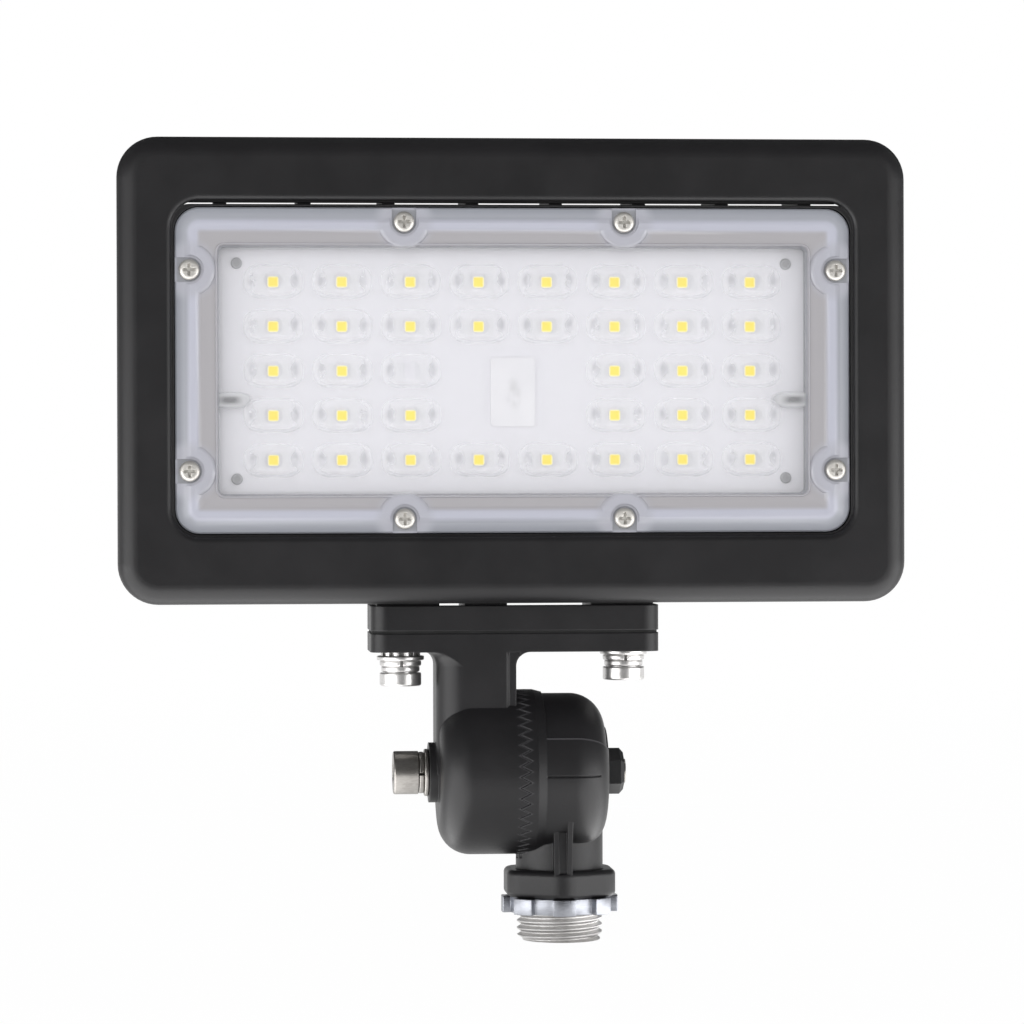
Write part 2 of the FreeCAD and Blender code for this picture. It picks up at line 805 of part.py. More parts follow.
def make_lens_cover():
    """Clear plate with a raised border, a sunk panel and lens domes."""
    body = head_body("lens_plate")
    plate_t = d.cover_y - d.seat_y
    add_slab(body, d.cover_y, plate_t, lambda p: p.rect(0, 0, d.cover_w, d.cover_h, d.cover_r))
    ridge = (d.cover_w - 2 * d.ridge_in, d.cover_h - 2 * d.ridge_in, d.cover_r)
    add_slab(body, d.cover_y + d.ridge_h, d.ridge_h, lambda p: p.rect(0, 0, *ridge))
    trough = (ridge[0] - 2 * d.ridge_w, ridge[1] - 2 * d.ridge_w, d.trough_r)
    cut_slab(body, d.cover_y + d.ridge_h, d.ridge_h, lambda p: p.rect(0, 0, *trough))
    tub = (d.panel_w + 2 * d.wall_t, d.panel_h + 2 * d.wall_t, d.panel_r + d.wall_t)
    deep = d.panel_y - d.panel_t
    add_slab(body, d.cover_y + d.bead_h, d.cover_y + d.bead_h - deep, lambda p: p.rect(0, 0, *tub))
    bead = (tub[0] - 2 * d.bead_t, tub[1] - 2 * d.bead_t, tub[2] - d.bead_t)
    cut_slab(body, d.cover_y + d.bead_h, d.bead_h, lambda p: p.rect(0, 0, *bead))
    panel = (d.panel_w, d.panel_h, d.panel_r)
    cut_slab(body, d.cover_y, d.cover_y - d.panel_y, lambda p: p.rect(0, 0, *panel))
    plain = (d.plain_w, d.plain_h, d.plain_r)
    add_slab(body, d.panel_y + d.plain_t, d.plain_t + OVERLAP, lambda p: p.rect(0, d.plain_z, *plain))

    def scallops(profile):
        for x, z in screw_places():
            profile.circle(x, z, d.scallop_r)

    cut_slab(body, d.cover_y + d.ridge_h, d.ridge_h, scallops)

    def notches(profile):
        for sign in (-1, 1):
            for other in (-1, 1):
                top = (d.cover_h / 2 - d.screw_in / 2) * other
                side = (d.cover_w / 2 - d.screw_in / 2) * sign
                profile.rect(d.screw_x * sign, top, d.notch_w, d.screw_in)
                profile.rect(side, d.screw_z * other, d.screw_in, d.notch_w)

    cut_slab(body, d.cover_y, d.notch_d, notches)

    def seats(profile):
        for x, z in screw_places():
            profile.circle(x, z, d.notch_w / 2)

    cut_slab(body, d.cover_y, d.notch_d, seats)

    def holes(profile):
        for x, z in screw_places():
            profile.circle(x, z, d.screw_hole_r)

    cut_slab(body, d.cover_y, plate_t, holes)
    doc.recompute()

    dome = doc.addObject("Part::Ellipsoid", "dome")
    bind(dome, "Radius1", d.dome_h / 2)
    bind(dome, "Radius2", d.dome_w / 2)
    bind(dome, "Radius3", d.dome_t)
    bulb = doc.addObject("Part::Ellipsoid", "bulb")
    bind(bulb, "Radius1", d.bulb_w / 2)
    bind(bulb, "Radius2", d.bulb_w / 2)
    bind(bulb, "Radius3", d.bulb_t)
    half = doc.addObject("Part::Box", "front_half")
    bind(half, "Length", d.dome_w + 2 * SPARE)
    bind(half, "Width", d.dome_t + OVERLAP)
    bind(half, "Height", d.dome_h + 2 * SPARE)
    bind(half, "Placement.Base.x", -(d.dome_w / 2) - SPARE)
    bind(half, "Placement.Base.y", -d.dome_t)
    bind(half, "Placement.Base.z", -(d.dome_h / 2) - SPARE)
    front = doc.addObject("Part::Common", "front_dome")
    front.Base = dome
    front.Tool = half
    doc.recompute()
    spots = lens_places()
    domes = [at(d.head_x + x, -d.panel_y, d.head_z + z) for x, z, row, col in spots]
    bulbs = [at(d.head_x + x, d.panel_t - d.panel_y, d.head_z + z) for x, z, row, col in spots]
    raised = doc.addObject("Part::MultiFuse", "raised_plate")
    raised.Shapes = [body, copies("dome_group", front, domes)]
    cover = doc.addObject("Part::Cut", "lens_cover")
    cover.Base = raised
    cover.Tool = copies("bulb_group", bulb, bulbs)
    cover.Label = "lens_cover"
    return cover


def make_board():
    body = head_body("led_board")
    front = d.floor_y + d.board_t
    add_slab(body, front, d.board_t, lambda p: p.rect(0, 0, BOARD_W, BOARD_H, d.panel_r))

    def openings(profile):
        for sx in (-1, 1):
            x = (BOARD_W - d.slot_in) / 2 * sx
            profile.rect(x, d.slot_z, d.slot_in, d.slot_h)
            for sz in (-1, 1):
                profile.circle(d.dot_x * sx, d.dot_z * sz, d.dot_shank_r)
        profile.circle(0, d.plain_z, d.grommet_r / 2)

    cut_slab(body, front, d.board_t, openings)
    return body


def make_leds():
    front = d.floor_y + d.board_t + d.led_t
    chip = new_body("led_chip")
    add_slab(chip, d.led_t, d.led_t, lambda p: p.rect(0, 0, d.led_w, d.led_w, d.led_r))
    doc.recompute()
    empty = (d.whole("led_rows") // 2, d.whole("led_cols") // 2 - 2)
    lit = [(x, z) for x, z, row, col in lens_places() if (row, col) != empty]
    places = [at(d.head_x + x, d.led_t - front, d.head_z + z) for x, z in lit]
    return copies("leds", chip, places)


def make_terminal():
    body = head_body("board_terminal")
    front = d.floor_y + d.board_t + d.terminal_t
    block = (d.terminal_w, d.terminal_h, d.terminal_r)
    add_slab(body, front, d.terminal_t, lambda p: p.rect(0, d.plain_z, *block))
    return body


def make_grommet():
    """Rubber bush for the two leads through the tray's floor."""
    body = head_body("lead_grommet")
    add_slab(body, d.floor_y, d.floor_y - d.back_y, lambda p: p.circle(0, d.plain_z, d.grommet_r))
    add_slab(body, d.back_y, d.grommet_lip_t, lambda p: p.circle(0, d.plain_z, d.grommet_r + d.grommet_lip))
    through = d.floor_y - d.back_y + d.grommet_lip_t
    cut_slab(body, d.floor_y, through, lambda p: p.circle(0, d.plain_z, d.grommet_r / 2))
    return body


def make_pan_screw(label, radius, height, shank_r, length):
    """A pan head screw along the depth, with its seat at the origin and a cross in its head."""
    body = new_body(label)
    head = Profile(body, "XY_Plane", 0)
    back, crown = dim(length), dim(height)
    points = [(0, back), (shank_r, back), (shank_r, 0), (radius, 0), (radius, -crown), (0, -crown)]
    head.outline(points, {4: crown * CROWN_ROUND})
    item = feature("Revolution", head)
    item.ReferenceAxis = (head.sketch, ["V_Axis"])
    long, wide = dim(radius) * CROSS_LONG, dim(radius) * CROSS_WIDE
    cut_slab(body, crown, crown * CROSS_DEEP, lambda p: p.rect(0, 0, long, wide))
    cut_slab(body, crown, crown * CROSS_DEEP, lambda p: p.rect(0, 0, wide, long))
    doc.recompute()
    return body


def make_lens_screws():
    screw = make_pan_screw("lens_screw", d.pan_r, d.pan_h, d.tap_r, d.pan_len)
    seat = d.notch_d - d.cover_y
    places = [at(d.head_x + x, seat, d.head_z + z) for x, z in screw_places()]
    return copies("lens_screws", screw, places)


def make_board_screws():
    length = d.board_t + d.dot_tap_d - SHORT
    screw = make_pan_screw("board_screw", d.dot_r, d.dot_h, d.dot_shank_r, length)
    seat = -(d.floor_y + d.board_t)
    spots = [(d.dot_x * sx, d.dot_z * sz) for sx in (-1, 1) for sz in (-1, 1)]
    return copies("board_screws", screw, [at(d.head_x + x, seat, d.head_z + z) for x, z in spots])


def make_driver():
    """Potted driver block on two feet, with an ear at each end."""
    body = head_body("led_driver")
    block = (DRIVER_W, DRIVER_H, d.driver_r)
    add_slab(body, d.back_y - d.driver_lift, d.driver_t, lambda p: p.rect(0, 0, *block))

    def feet(profile):
        for sign in (-1, 1):
            x = (DRIVER_W - d.foot_post_w) / 2 * sign
            profile.rect(x, 0, d.foot_post_w, d.foot_post_h)

    def ears(profile):
        for sign in (-1, 1):
            x = (DRIVER_W / 2 + (d.ear_w - d.foot_post_w) / 2) * sign
            profile.rect(x, 0, d.ear_w + d.foot_post_w, d.ear_h)

    def holes(profile):
        for sign in (-1, 1):
            profile.circle(EAR_X * sign, 0, d.tap_r + d.hole_fit)

    add_slab(body, d.back_y, d.driver_lift + OVERLAP, feet)
    add_slab(body, d.back_y, d.ear_t, ears)
    cut_slab(body, d.back_y, d.ear_t, holes)
    return body


def facing_back(x, y, z):
    """A place turned half round, so that a screw goes in from behind."""
    spot = FreeCAD.Vector(dim(x).value, dim(y).value, dim(z).value)
    return FreeCAD.Placement(spot, FreeCAD.Rotation(FreeCAD.Vector(0, 0, 1), 180))


def make_driver_screws():
    length = d.ear_t + d.driver_tap_d - SHORT
    screw = make_pan_screw("driver_screw", d.driver_head_r, d.driver_head_h, d.tap_r, length)
    seat = d.ear_t - d.back_y
    places = [facing_back(d.head_x + EAR_X * sign, seat, d.head_z) for sign in (-1, 1)]
    return copies("driver_screws", screw, places)


def make_rear_gasket():
    body = head_body("rear_gasket")
    outer = (d.box_w, d.box_h, d.box_r)
    inner = (d.box_w - 2 * d.box_t, d.box_h - 2 * d.box_t, d.box_r - d.box_t)
    add_slab(body, BOX_BACK, d.rear_gap, lambda p: p.rect(0, 0, *outer))
    cut_slab(body, BOX_BACK, d.rear_gap, lambda p: p.rect(0, 0, *inner))

    def eyes(profile, radius):
        for x, z in rear_places():
            profile.circle(x, z, radius)

    add_slab(body, BOX_BACK, d.rear_gap, lambda p: eyes(p, d.post_r))
    cut_slab(body, BOX_BACK, d.rear_gap, lambda p: eyes(p, d.rear_screw_r + d.rear_hole_fit))
    return body


def make_rear_cover():
    body = head_body("rear_cover")
    front = BOX_BACK - d.rear_gap
    back = front - d.rear_t
    add_slab(body, front, d.rear_t, lambda p: p.rect(0, 0, d.box_w, d.box_h, d.box_r))
    dress(body, "Fillet", "Radius", d.rear_edge_r, lambda e: level(e, "Y", -back))
    recess = (d.box_w - 2 * d.rear_border, d.box_h - 2 * d.rear_border, d.rear_sunk_r)
    sunk = cut_slab(body, back, d.rear_sunk, lambda p: p.rect(0, 0, *recess))
    sunk.Reversed = True

    def holes(profile):
        for x, z in rear_places():
            profile.circle(x, z, d.rear_screw_r + d.rear_hole_fit)

    cut_slab(body, front, d.rear_t, holes)
    return body


def make_rear_screws():
    length = d.rear_t + d.rear_gap + d.rear_tap_d - SHORT
    screw = make_pan_screw("rear_screw", d.rear_head_r, d.rear_head_h, d.rear_screw_r, length)
    seat = -(BOX_BACK - d.rear_gap - d.rear_t)
    places = [facing_back(d.head_x + x, seat, d.head_z + z) for x, z in rear_places()]
    return copies("rear_screws", screw, places)


def foot_openings(profile, bolt_hole):
    for sign in (-1, 1):
        profile.circle(d.foot_dx + d.bolt_gap / 2 * sign, 0, bolt_hole)
    profile.circle(d.foot_dx + d.wire_x, 0, d.wire_r)


def make_foot_gasket():
    body = head_body("foot_gasket")
    inset = d.gasket_in
    sheet_size = (d.foot_w - 2 * inset, d.foot_d - 2 * inset, d.foot_r - inset)
    add_layer(body, FLANGE_TOP, d.gasket_t, lambda p: p.rect(d.foot_dx, 0, *sheet_size))
    cut_layer(body, FOOT_LOW, d.gasket_t, lambda p: foot_openings(p, d.bolt_r + d.hole_fit))
    return body


def zigzag(label, gap, to_right):
    """Everything to one side of a serrated cone about the knuckle axis, as a cutting block."""
    count = d.whole("tooth_count")
    reach = d.ring_r.value + SPARE
    rise = d.tooth_d.value / 2 * reach / d.drum_r.value
    face = d.face_x.value + gap.value
    end = face + (reach if to_right else -reach)
    tip = FreeCAD.Vector(face, 0, 0)
    rim, back = [], []
    for i in range(2 * count):
        turn_by = math.pi * i / count
        y, z = reach * math.sin(turn_by), reach * math.cos(turn_by)
        rim.append(FreeCAD.Vector(face + (rise if i % 2 else -rise), y, z))
        back.append(FreeCAD.Vector(end, y, z))
    faces = []
    for i in range(2 * count):
        after = (i + 1) % (2 * count)
        faces.append(Part.Face(Part.makePolygon([tip, rim[i], rim[after], tip])))
        faces.append(Part.Face(Part.makePolygon([rim[i], rim[after], back[after], back[i], rim[i]])))
    faces.append(Part.Face(Part.makePolygon(back + [back[0]])))
    block = Part.Solid(Part.Shell(faces))
    if block.Volume < 0:
        block.reverse()
    item = doc.addObject("Part::Feature", label)
    item.Shape = block
    item.Placement = FreeCAD.Placement(FreeCAD.Vector(0, 0, d.axis_z.value), FreeCAD.Rotation())
    return item


def make_arm():
    """Flange, stem and left knuckle half."""
    body = knuckle_body("arm_casting")
    shift = d.head_z - d.axis_z
    top, low = FLANGE_TOP + shift, FLANGE_LOW + shift
    half = d.foot_d / 2
    spread = 2 * (d.stem_fillet + SPARE)
    # the flange starts oversize, so that the stem can flare into it before its outline is trimmed
    add_layer(body, low, d.flange_t, lambda p: p.rect(FOOT_X, 0, d.foot_w + spread, d.foot_d + spread))
    column = [(d.stem_left, -half), (STEM_RIGHT, -half), (STEM_RIGHT, half), (d.stem_left, half)]
    rounds = {0: d.stem_round, 3: d.stem_round}
    add_layer(body, 0, low + OVERLAP, lambda p: p.outline(column, rounds))

    def under(edge):
        box = edge.BoundBox
        on_stem = box.XMin > d.stem_left.value - SPARE and box.XMax < STEM_RIGHT.value + SPARE
        return on_stem and level(edge, "Z", low)

    dress(body, "Fillet", "Radius", d.stem_fillet, under)

    def rim(profile):
        profile.rect(FOOT_X, 0, d.foot_w + 2 * spread, d.foot_d + 2 * spread)
        profile.rect(FOOT_X, 0, d.foot_w, d.foot_d, d.foot_r)

    cut_layer(body, top, d.flange_t + d.stem_fillet + SPARE, rim)

    # a band along the right edge of the stem, set back from its front and its back
    edge_x = STEM_RIGHT - d.stem_band
    for sign in (-1, 1):
        face, sunk, far = half * sign, (half - d.stem_step) * sign, (half + SPARE) * sign
        band = [
            (edge_x - d.stem_step, face),
            (edge_x, sunk),
            (STEM_RIGHT + SPARE, sunk),
            (STEM_RIGHT + SPARE, far),
            (edge_x - d.stem_step, far),
        ]
        cut_layer(body, low, low, lambda p: p.outline(band))

    right_end = d.face_x + d.tooth_d
    turn(
        body,
        [(d.drum_left, 0), (right_end, 0), (right_end, d.drum_r), (d.drum_left, d.drum_r)],
        "H_Axis",
        {3: d.drum_round},
    )
    add_side(body, d.drum_left - d.boss_t, d.boss_t + OVERLAP, lambda p: p.circle(0, 0, d.boss_r))
    # inside: open core, recess within the serrations, bolt hole and the wire way up the stem
    cut_side(body, right_end, right_end - CORE_LEFT, lambda p: p.circle(0, 0, d.core_r))
    recess = d.face_x - d.ring_recess
    cut_side(body, right_end, right_end - recess, lambda p: p.circle(0, 0, d.ring_in_r))
    through = right_end - d.drum_left + d.boss_t
    cut_side(body, right_end, through, lambda p: p.circle(0, 0, d.bolt_r + d.bore_fit))
    wire = FOOT_X + d.wire_x
    cut_layer(body, top, top - d.core_r / 2, lambda p: p.circle(wire, 0, d.wire_r))

    def bolt_holes(profile):
        for sign in (-1, 1):
            profile.circle(FOOT_X + d.bolt_gap / 2 * sign, 0, d.bolt_r + d.hole_fit)

    cut_layer(body, top, d.flange_t, bolt_holes)
    doc.recompute()
    arm = doc.addObject("Part::Cut", "tilt_arm")
    arm.Base = body
    arm.Tool = zigzag("arm_teeth", d.tooth_gap / -2, True)
    arm.Label = "tilt_arm"
    return arm


def make_base():
    """Right knuckle half, neck and hex collar."""
    body = knuckle_body("base_casting")
    left = d.face_x - d.tooth_d
    slope_end = RING_RIGHT + d.ring_slope
    turn(
        body,
        [
            (left, 0),
            (d.hub_right, 0),
            (d.hub_right, d.hub_r),
            (slope_end, d.hub_r),
            (RING_RIGHT, d.ring_r),
            (left, d.ring_r),
        ],
        "H_Axis",
        {2: d.hub_round},
    )
    # the upper part of the hub is cut back a little, which leaves an edge across its front
    inner = d.hub_r - d.hub_step
    skim = Profile(body, "XZ_Plane", 0)
    c_x, c_z = d.hub_right - d.hub_round, d.hub_r - d.hub_round
    far = d.hub_right + SPARE
    over = d.hub_r + SPARE
    small = d.hub_round - d.hub_step
    begin = slope_end + d.hub_in
    skim.chain(
        [
            [(begin, inner), None],
            [(c_x, inner), ((c_x, c_z), small, False)],
            [(c_x + small, c_z), None],
            [(far, c_z), None],
            [(far, over), None],
            [(begin, over), None],
        ]
    )
    groove = feature("Groove", skim, Angle=d.step_angle)
    groove.ReferenceAxis = (skim.sketch, ["H_Axis"])
    groove.Midplane = True

    collar = d.collar_low - d.axis_z
    neck_low = collar + d.collar_h
    add_layer(body, neck_low - SPARE, SPARE - neck_low, lambda p: p.circle(0, 0, d.neck_r))
    add_layer(body, collar, d.collar_h, lambda p: p.hexagon(0, 0, d.collar_af, True))

    def collar_corners(edge):
        box = edge.BoundBox
        return near(box.ZMin, collar.value) and near(box.ZMax, neck_low.value)

    def collar_rims(edge):
        rim = level(edge, "Z", collar) or level(edge, "Z", neck_low)
        box = edge.BoundBox
        reach = max(abs(box.XMin), abs(box.XMax), abs(box.YMin), abs(box.YMax))
        return rim and reach > d.neck_r.value + 0.1

    dress(body, "Fillet", "Radius", d.collar_round, collar_corners)
    dress(body, "Fillet", "Radius", d.collar_edge, collar_rims)
    # rib down the front of the neck, with a groove along it
    rib_mid = d.rib_left + d.rib_w / 2
    tall = d.rib_top - neck_low + SPARE
    rib_z = d.rib_top - tall / 2
    rib_back = d.neck_r / 2
    add_slab(body, d.rib_out, d.rib_out - rib_back, lambda p: p.rect(rib_mid, rib_z, d.rib_w, tall))
    cut_slab(body, d.rib_out, d.rib_groove_d, lambda p: p.rect(rib_mid, rib_z, d.rib_groove, tall))
    # its right edge is a taller ridge that runs up to the hub
    ridge_w = (d.rib_w - d.rib_groove) / 2
    foot = neck_low - SPARE
    ridge = [(-rib_back, foot), (-d.rib_out, foot), (-d.ridge_out, d.ridge_top), (-rib_back, d.ridge_top)]
    add_side(body, d.rib_left + d.rib_w - ridge_w, ridge_w, lambda p: p.outline(ridge))
    # fine seam along the front and the back of the hub, which follows its rounding
    bend = d.hub_round - d.seam_d
    clear = d.hub_round + SPARE
    for sign in (-1, 1):
        seam = Profile(body, "XY_Plane", 0)
        seam.chain(
            [
                [(begin, (c_z + bend) * sign), None],
                [(c_x, (c_z + bend) * sign), ((c_x, c_z * sign), bend, sign < 0)],
                [(c_x + bend * HALF_WAY, (c_z + bend * HALF_WAY) * sign), None],
                [(c_x + clear * HALF_WAY, (c_z + clear * HALF_WAY) * sign), None],
                [(c_x, (c_z + clear) * sign), None],
                [(begin, (c_z + clear) * sign), None],
            ]
        )
        trace = feature("Groove", seam, Angle=d.seam_angle)
        trace.ReferenceAxis = (seam.sketch, ["H_Axis"])
        trace.Midplane = True

    cut_side(body, CORE_RIGHT, CORE_RIGHT - left, lambda p: p.circle(0, 0, d.core_r))
    recess = d.face_x + d.ring_recess
    cut_side(body, recess, recess - left, lambda p: p.circle(0, 0, d.ring_in_r))
    cut_side(body, d.hub_right, d.hub_right - left, lambda p: p.circle(0, 0, d.bolt_r + d.axle_fit))
    spigot_top = collar + d.spigot_h
    cut_layer(body, spigot_top, d.spigot_h, lambda p: p.circle(0, 0, d.spigot_r))
    wire_top = -(d.core_r / 2)
    cut_layer(body, wire_top, wire_top - collar, lambda p: p.circle(0, 0, d.wireway_r + d.wireway_fit))
    doc.recompute()
    base = doc.addObject("Part::Cut", "knuckle_base")
    base.Base = body
    base.Tool = zigzag("base_teeth", d.tooth_gap / 2, False)
    base.Label = "knuckle_base"
    return base


def make_seal():
    """Ring inside the serrations that keeps water out of the wire way."""
    body = knuckle_body("knuckle_seal")
    right = d.face_x + d.ring_recess
    width = 2 * d.ring_recess - d.seal_fit
    outside = d.ring_in_r - d.seal_fit
    add_side(body, right - width, width, lambda p: p.circle(0, 0, outside))
    cut_side(body, right, width, lambda p: p.circle(0, 0, outside - d.seal_t))
    return body


def socket_screw(label, cap_r, cap_h, length, collared):
    """A cap screw that points up, with its seat at the origin and a hex socket below."""
    body = new_body(label)
    shank, cap = d.bolt_r, dim(cap_h)
    points = [(0, length), (shank, length), (shank, 0)]
    rounds = {4: d.cap_round}
    if collared:
        low = d.cap_collar_h + d.cap_groove_w
        points += [(d.cap_collar_r, 0), (d.cap_collar_r, -d.cap_collar_h)]
        points += [(d.cap_groove_r, -d.cap_collar_h), (d.cap_groove_r, -low), (cap_r, -low)]
        rounds = {3: d.rim_round, 4: d.rim_round, 7: d.rim_round, 8: d.cap_round}
    else:
        points.append((cap_r, 0))
    points += [(cap_r, -cap), (0, -cap)]
    turn(body, points, "V_Axis", rounds)
    recess = cut_layer(body, -cap, d.socket_d, lambda p: p.hexagon(0, 0, d.socket_af, False))
    recess.Reversed = True
    doc.recompute()
    return body


def split_washer(label):
    """A spring washer above its seat, with its slit to the front."""
    body = new_body(label)
    add_layer(body, 0, d.spring_t, lambda p: p.circle(0, 0, d.spring_r))
    dress(body, "Fillet", "Radius", d.spring_round, lambda e: e.Curve.TypeId == "Part::GeomCircle")
    cut_layer(body, d.spring_t, d.spring_t, lambda p: p.circle(0, 0, d.bolt_r + d.washer_fit))
    reach = d.spring_r + SPARE
    cut_layer(body, d.spring_t, d.spring_t, lambda p: p.rect(0, -(reach / 2), d.spring_slit, reach))
    doc.recompute()
    return body


def flat_washer(label):
    body = new_body(label)
    add_layer(body, 0, d.washer_t, lambda p: p.circle(0, 0, d.washer_r))
    dress(body, "Fillet", "Radius", d.rim_round, lambda e: e.Curve.TypeId == "Part::GeomCircle")
    cut_layer(body, d.washer_t, d.washer_t, lambda p: p.circle(0, 0, d.bolt_r + d.washer_fit))
    doc.recompute()
    return body


def make_star_washer():
    """Toothed washer under one bolt, which bites through the paint."""
    low = d.head_z + FLANGE_LOW - d.star_t
    body = new_body("star_washer", FOOT_X - d.bolt_gap / 2, 0, low)
    add_layer(body, 0, d.star_t, lambda p: p.circle(0, 0, d.star_r))
    doc.recompute()
    profile = Profile(body, "XY_Plane", d.star_t)
    profile.rect(d.star_r, 0, d.star_notch * 2, d.star_notch)
    notch = feature("Pocket", profile, Length=d.star_t)
    ring = body.newObject("PartDesign::PolarPattern", "teeth")
    ring.Originals = [notch]
    ring.Axis = (profile.sketch, ["N_Axis"])
    ring.Angle = 360
    ring.Occurrences = d.whole("star_teeth")
    body.Tip = ring
    cut_layer(body, d.star_t, d.star_t, lambda p: p.circle(0, 0, d.bolt_r + d.washer_fit))
    return body


def make_flange_fasteners():
    """Two bolts from below, each with a spring washer and a flat washer."""
    low = d.head_z + FLANGE_LOW
    spots = [(FOOT_X - d.bolt_gap / 2, low - d.star_t), (FOOT_X + d.bolt_gap / 2, low)]
    flat = flat_washer("flat_washer")
    spring = split_washer("spring_washer")
    bolt = socket_screw("flange_bolt", d.cap_r, d.cap_h, d.flange_bolt_len - d.cap_h, True)
    under = d.washer_t + d.spring_t
    return [
        copies("flange_washers", flat, [at(x, 0, z - d.washer_t) for x, z in spots]),
        copies("flange_spring_washers", spring, [at(x, 0, z - under) for x, z in spots]),
        copies("flange_bolts", bolt, [at(x, 0, z - under) for x, z in spots]),
    ]


def make_axle():
    """The knuckle's bolt with its washers on the left and its nut on the right."""
    seat = d.drum_left - d.boss_t - d.axle_play
    middle = seat - d.washer_t
    head = middle - d.spring_t
    to_right = FreeCAD.Rotation(FreeCAD.Vector(0, 1, 0), 90)
    bolt = socket_screw("axle_screw", d.axle_cap_r, d.axle_cap_h, AXLE_END - head, False)

    def along(x):
        return FreeCAD.Placement(FreeCAD.Vector(x.value, 0, d.axis_z.value), to_right)

    nut = knuckle_body("knuckle_nut")
    add_side(nut, d.hub_right, d.hex_nut_h, lambda p: p.hexagon(0, 0, d.hex_nut_af, True))
    end = d.hub_right + d.hex_nut_h
    dress(nut, "Chamfer", "Size", d.hex_nut_bevel, lambda e: level(e, "X", end))
    cut_side(nut, end, d.hex_nut_h, lambda p: p.circle(0, 0, d.bolt_r))
    return [
        copies("knuckle_bolt", bolt, [along(head)]),
        copies("knuckle_spring_washer", split_washer("axle_spring"), [along(head)]),
        copies("knuckle_washer", flat_washer("axle_washer"), [along(middle)]),
        nut,
    ]


def make_nipple():
    """Tube with a ringed thread below and a plain spigot in the collar."""
    body = new_body("nipple")
    low = -d.thread_len
    top = d.collar_low
    fade = d.thread_fade
    room = d.thread_len - d.thread_d - d.thread_land - 2 * fade
    count = int(room.value // d.thread_pitch.value)
    flank = (d.thread_pitch - d.thread_land) / 2
    root = d.thread_r - d.thread_d
    points = [
        (d.wireway_r, top + d.spigot_h),
        (d.wireway_r, low),
        (root, low),
        (d.thread_r, low + d.thread_d),
    ]
    z = low + d.thread_d
    for i in range(count):
        points.append((d.thread_r, z + d.thread_land))
        points.append((root, z + d.thread_land + flank))
        z = z + d.thread_pitch
        points.append((d.thread_r, z))
    points.append((d.thread_r, z + d.thread_land))
    points.append((RELIEF_R, z + d.thread_land + fade))
    points.append((RELIEF_R, top))
    points.append((d.spigot_r, top))
    points.append((d.spigot_r, top + d.spigot_h))
    turn(body, points, "V_Axis")
    return body


def make_locknut():
    """Ring with square lugs, free to turn on the nipple."""
    body = new_body("locknut")
    add_layer(body, 0, d.lock_t, lambda p: p.circle(0, 0, d.lock_r))
    doc.recompute()
    lug_in = d.lock_r - SPARE
    long = d.lock_lug_r - lug_in
    profile = Profile(body, "XY_Plane", 0)
    profile.rect(lug_in + long / 2, 0, long, d.lock_lug_w)
    lug = feature("Pad", profile, Length=d.lock_t)
    ring = body.newObject("PartDesign::PolarPattern", "lugs")
    ring.Originals = [lug]
    ring.Axis = (profile.sketch, ["N_Axis"])
    ring.Angle = 360
    ring.Occurrences = d.whole("lock_lugs")
    body.Tip = ring
    cut_layer(body, d.lock_t, d.lock_t, lambda p: p.circle(0, 0, RELIEF_R + d.nut_fit))
    return body


nodes = [
    make_housing(),
    make_lens_gasket(),
    make_lens_cover(),
    make_lens_screws(),
    make_board(),
    make_leds(),
    make_terminal(),
    make_grommet(),
    make_board_screws(),
    make_driver(),
    make_driver_screws(),
    make_rear_gasket(),
    make_rear_cover(),
    make_rear_screws(),
    make_foot_gasket(),
    make_arm(),
    make_star_washer(),
    *make_flange_fasteners(),
    make_base(),
    make_seal(),
    *make_axle(),
    make_nipple(),
    make_locknut(),
]
doc.recompute()

for item in doc.Objects:
    bad = [state for state in item.State if state in ("Invalid", "Error")]
    if bad:
        raise SystemExit(f"{item.Label} did not recompute: {bad}")
for node in nodes:
    if node.Shape.isNull() or not node.Shape.isValid():
        raise SystemExit(f"{node.Label} has no valid shape")
for node in nodes:
    node.Shape.exportStep(f"parts/{node.Label}.step")
    box = node.Shape.BoundBox
    print(
        f"{node.Label}: {len(node.Shape.Solids)} solids, {node.Shape.Volume:.0f} mm3,"
        f" x {box.XMin:.2f} {box.XMax:.2f}, y {box.YMin:.2f} {box.YMax:.2f}, z {box.ZMin:.2f} {box.ZMax:.2f}"
    )
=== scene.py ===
import logging
import math
from collections.abc import Callable, Iterable, Iterator
from contextlib import contextmanager
from dataclasses import dataclass
from enum import Enum

import bmesh
import bpy
from mathutils import Matrix, Vector


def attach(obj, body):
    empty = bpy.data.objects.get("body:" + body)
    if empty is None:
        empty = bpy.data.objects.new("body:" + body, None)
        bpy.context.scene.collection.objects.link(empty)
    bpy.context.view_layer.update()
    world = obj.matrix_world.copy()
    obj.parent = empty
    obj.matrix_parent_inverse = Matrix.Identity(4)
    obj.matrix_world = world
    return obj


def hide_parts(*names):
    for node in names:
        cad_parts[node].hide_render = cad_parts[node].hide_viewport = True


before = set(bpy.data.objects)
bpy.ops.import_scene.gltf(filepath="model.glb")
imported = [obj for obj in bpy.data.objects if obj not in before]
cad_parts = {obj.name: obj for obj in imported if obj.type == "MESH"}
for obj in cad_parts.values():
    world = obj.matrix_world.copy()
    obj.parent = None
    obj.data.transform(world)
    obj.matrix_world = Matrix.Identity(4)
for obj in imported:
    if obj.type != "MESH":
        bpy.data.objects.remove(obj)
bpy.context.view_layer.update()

log = logging.getLogger("flood_light")

# one millimetre, and the reach within which points merge or a cut snaps, in metres
MM = 0.001
FINE = 0.00001
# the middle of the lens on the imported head, in millimetres
HEAD_X = -12.4
HEAD_Z = 134.9
# two places this close are one, in millimetres
NEAR = 0.01
# a face that turns this much towards an axis faces along it
FACING = 0.9
# flats round a turned piece
SIDES = 64
# rays that feel for an edge where a finish softens it
FEELERS = 6
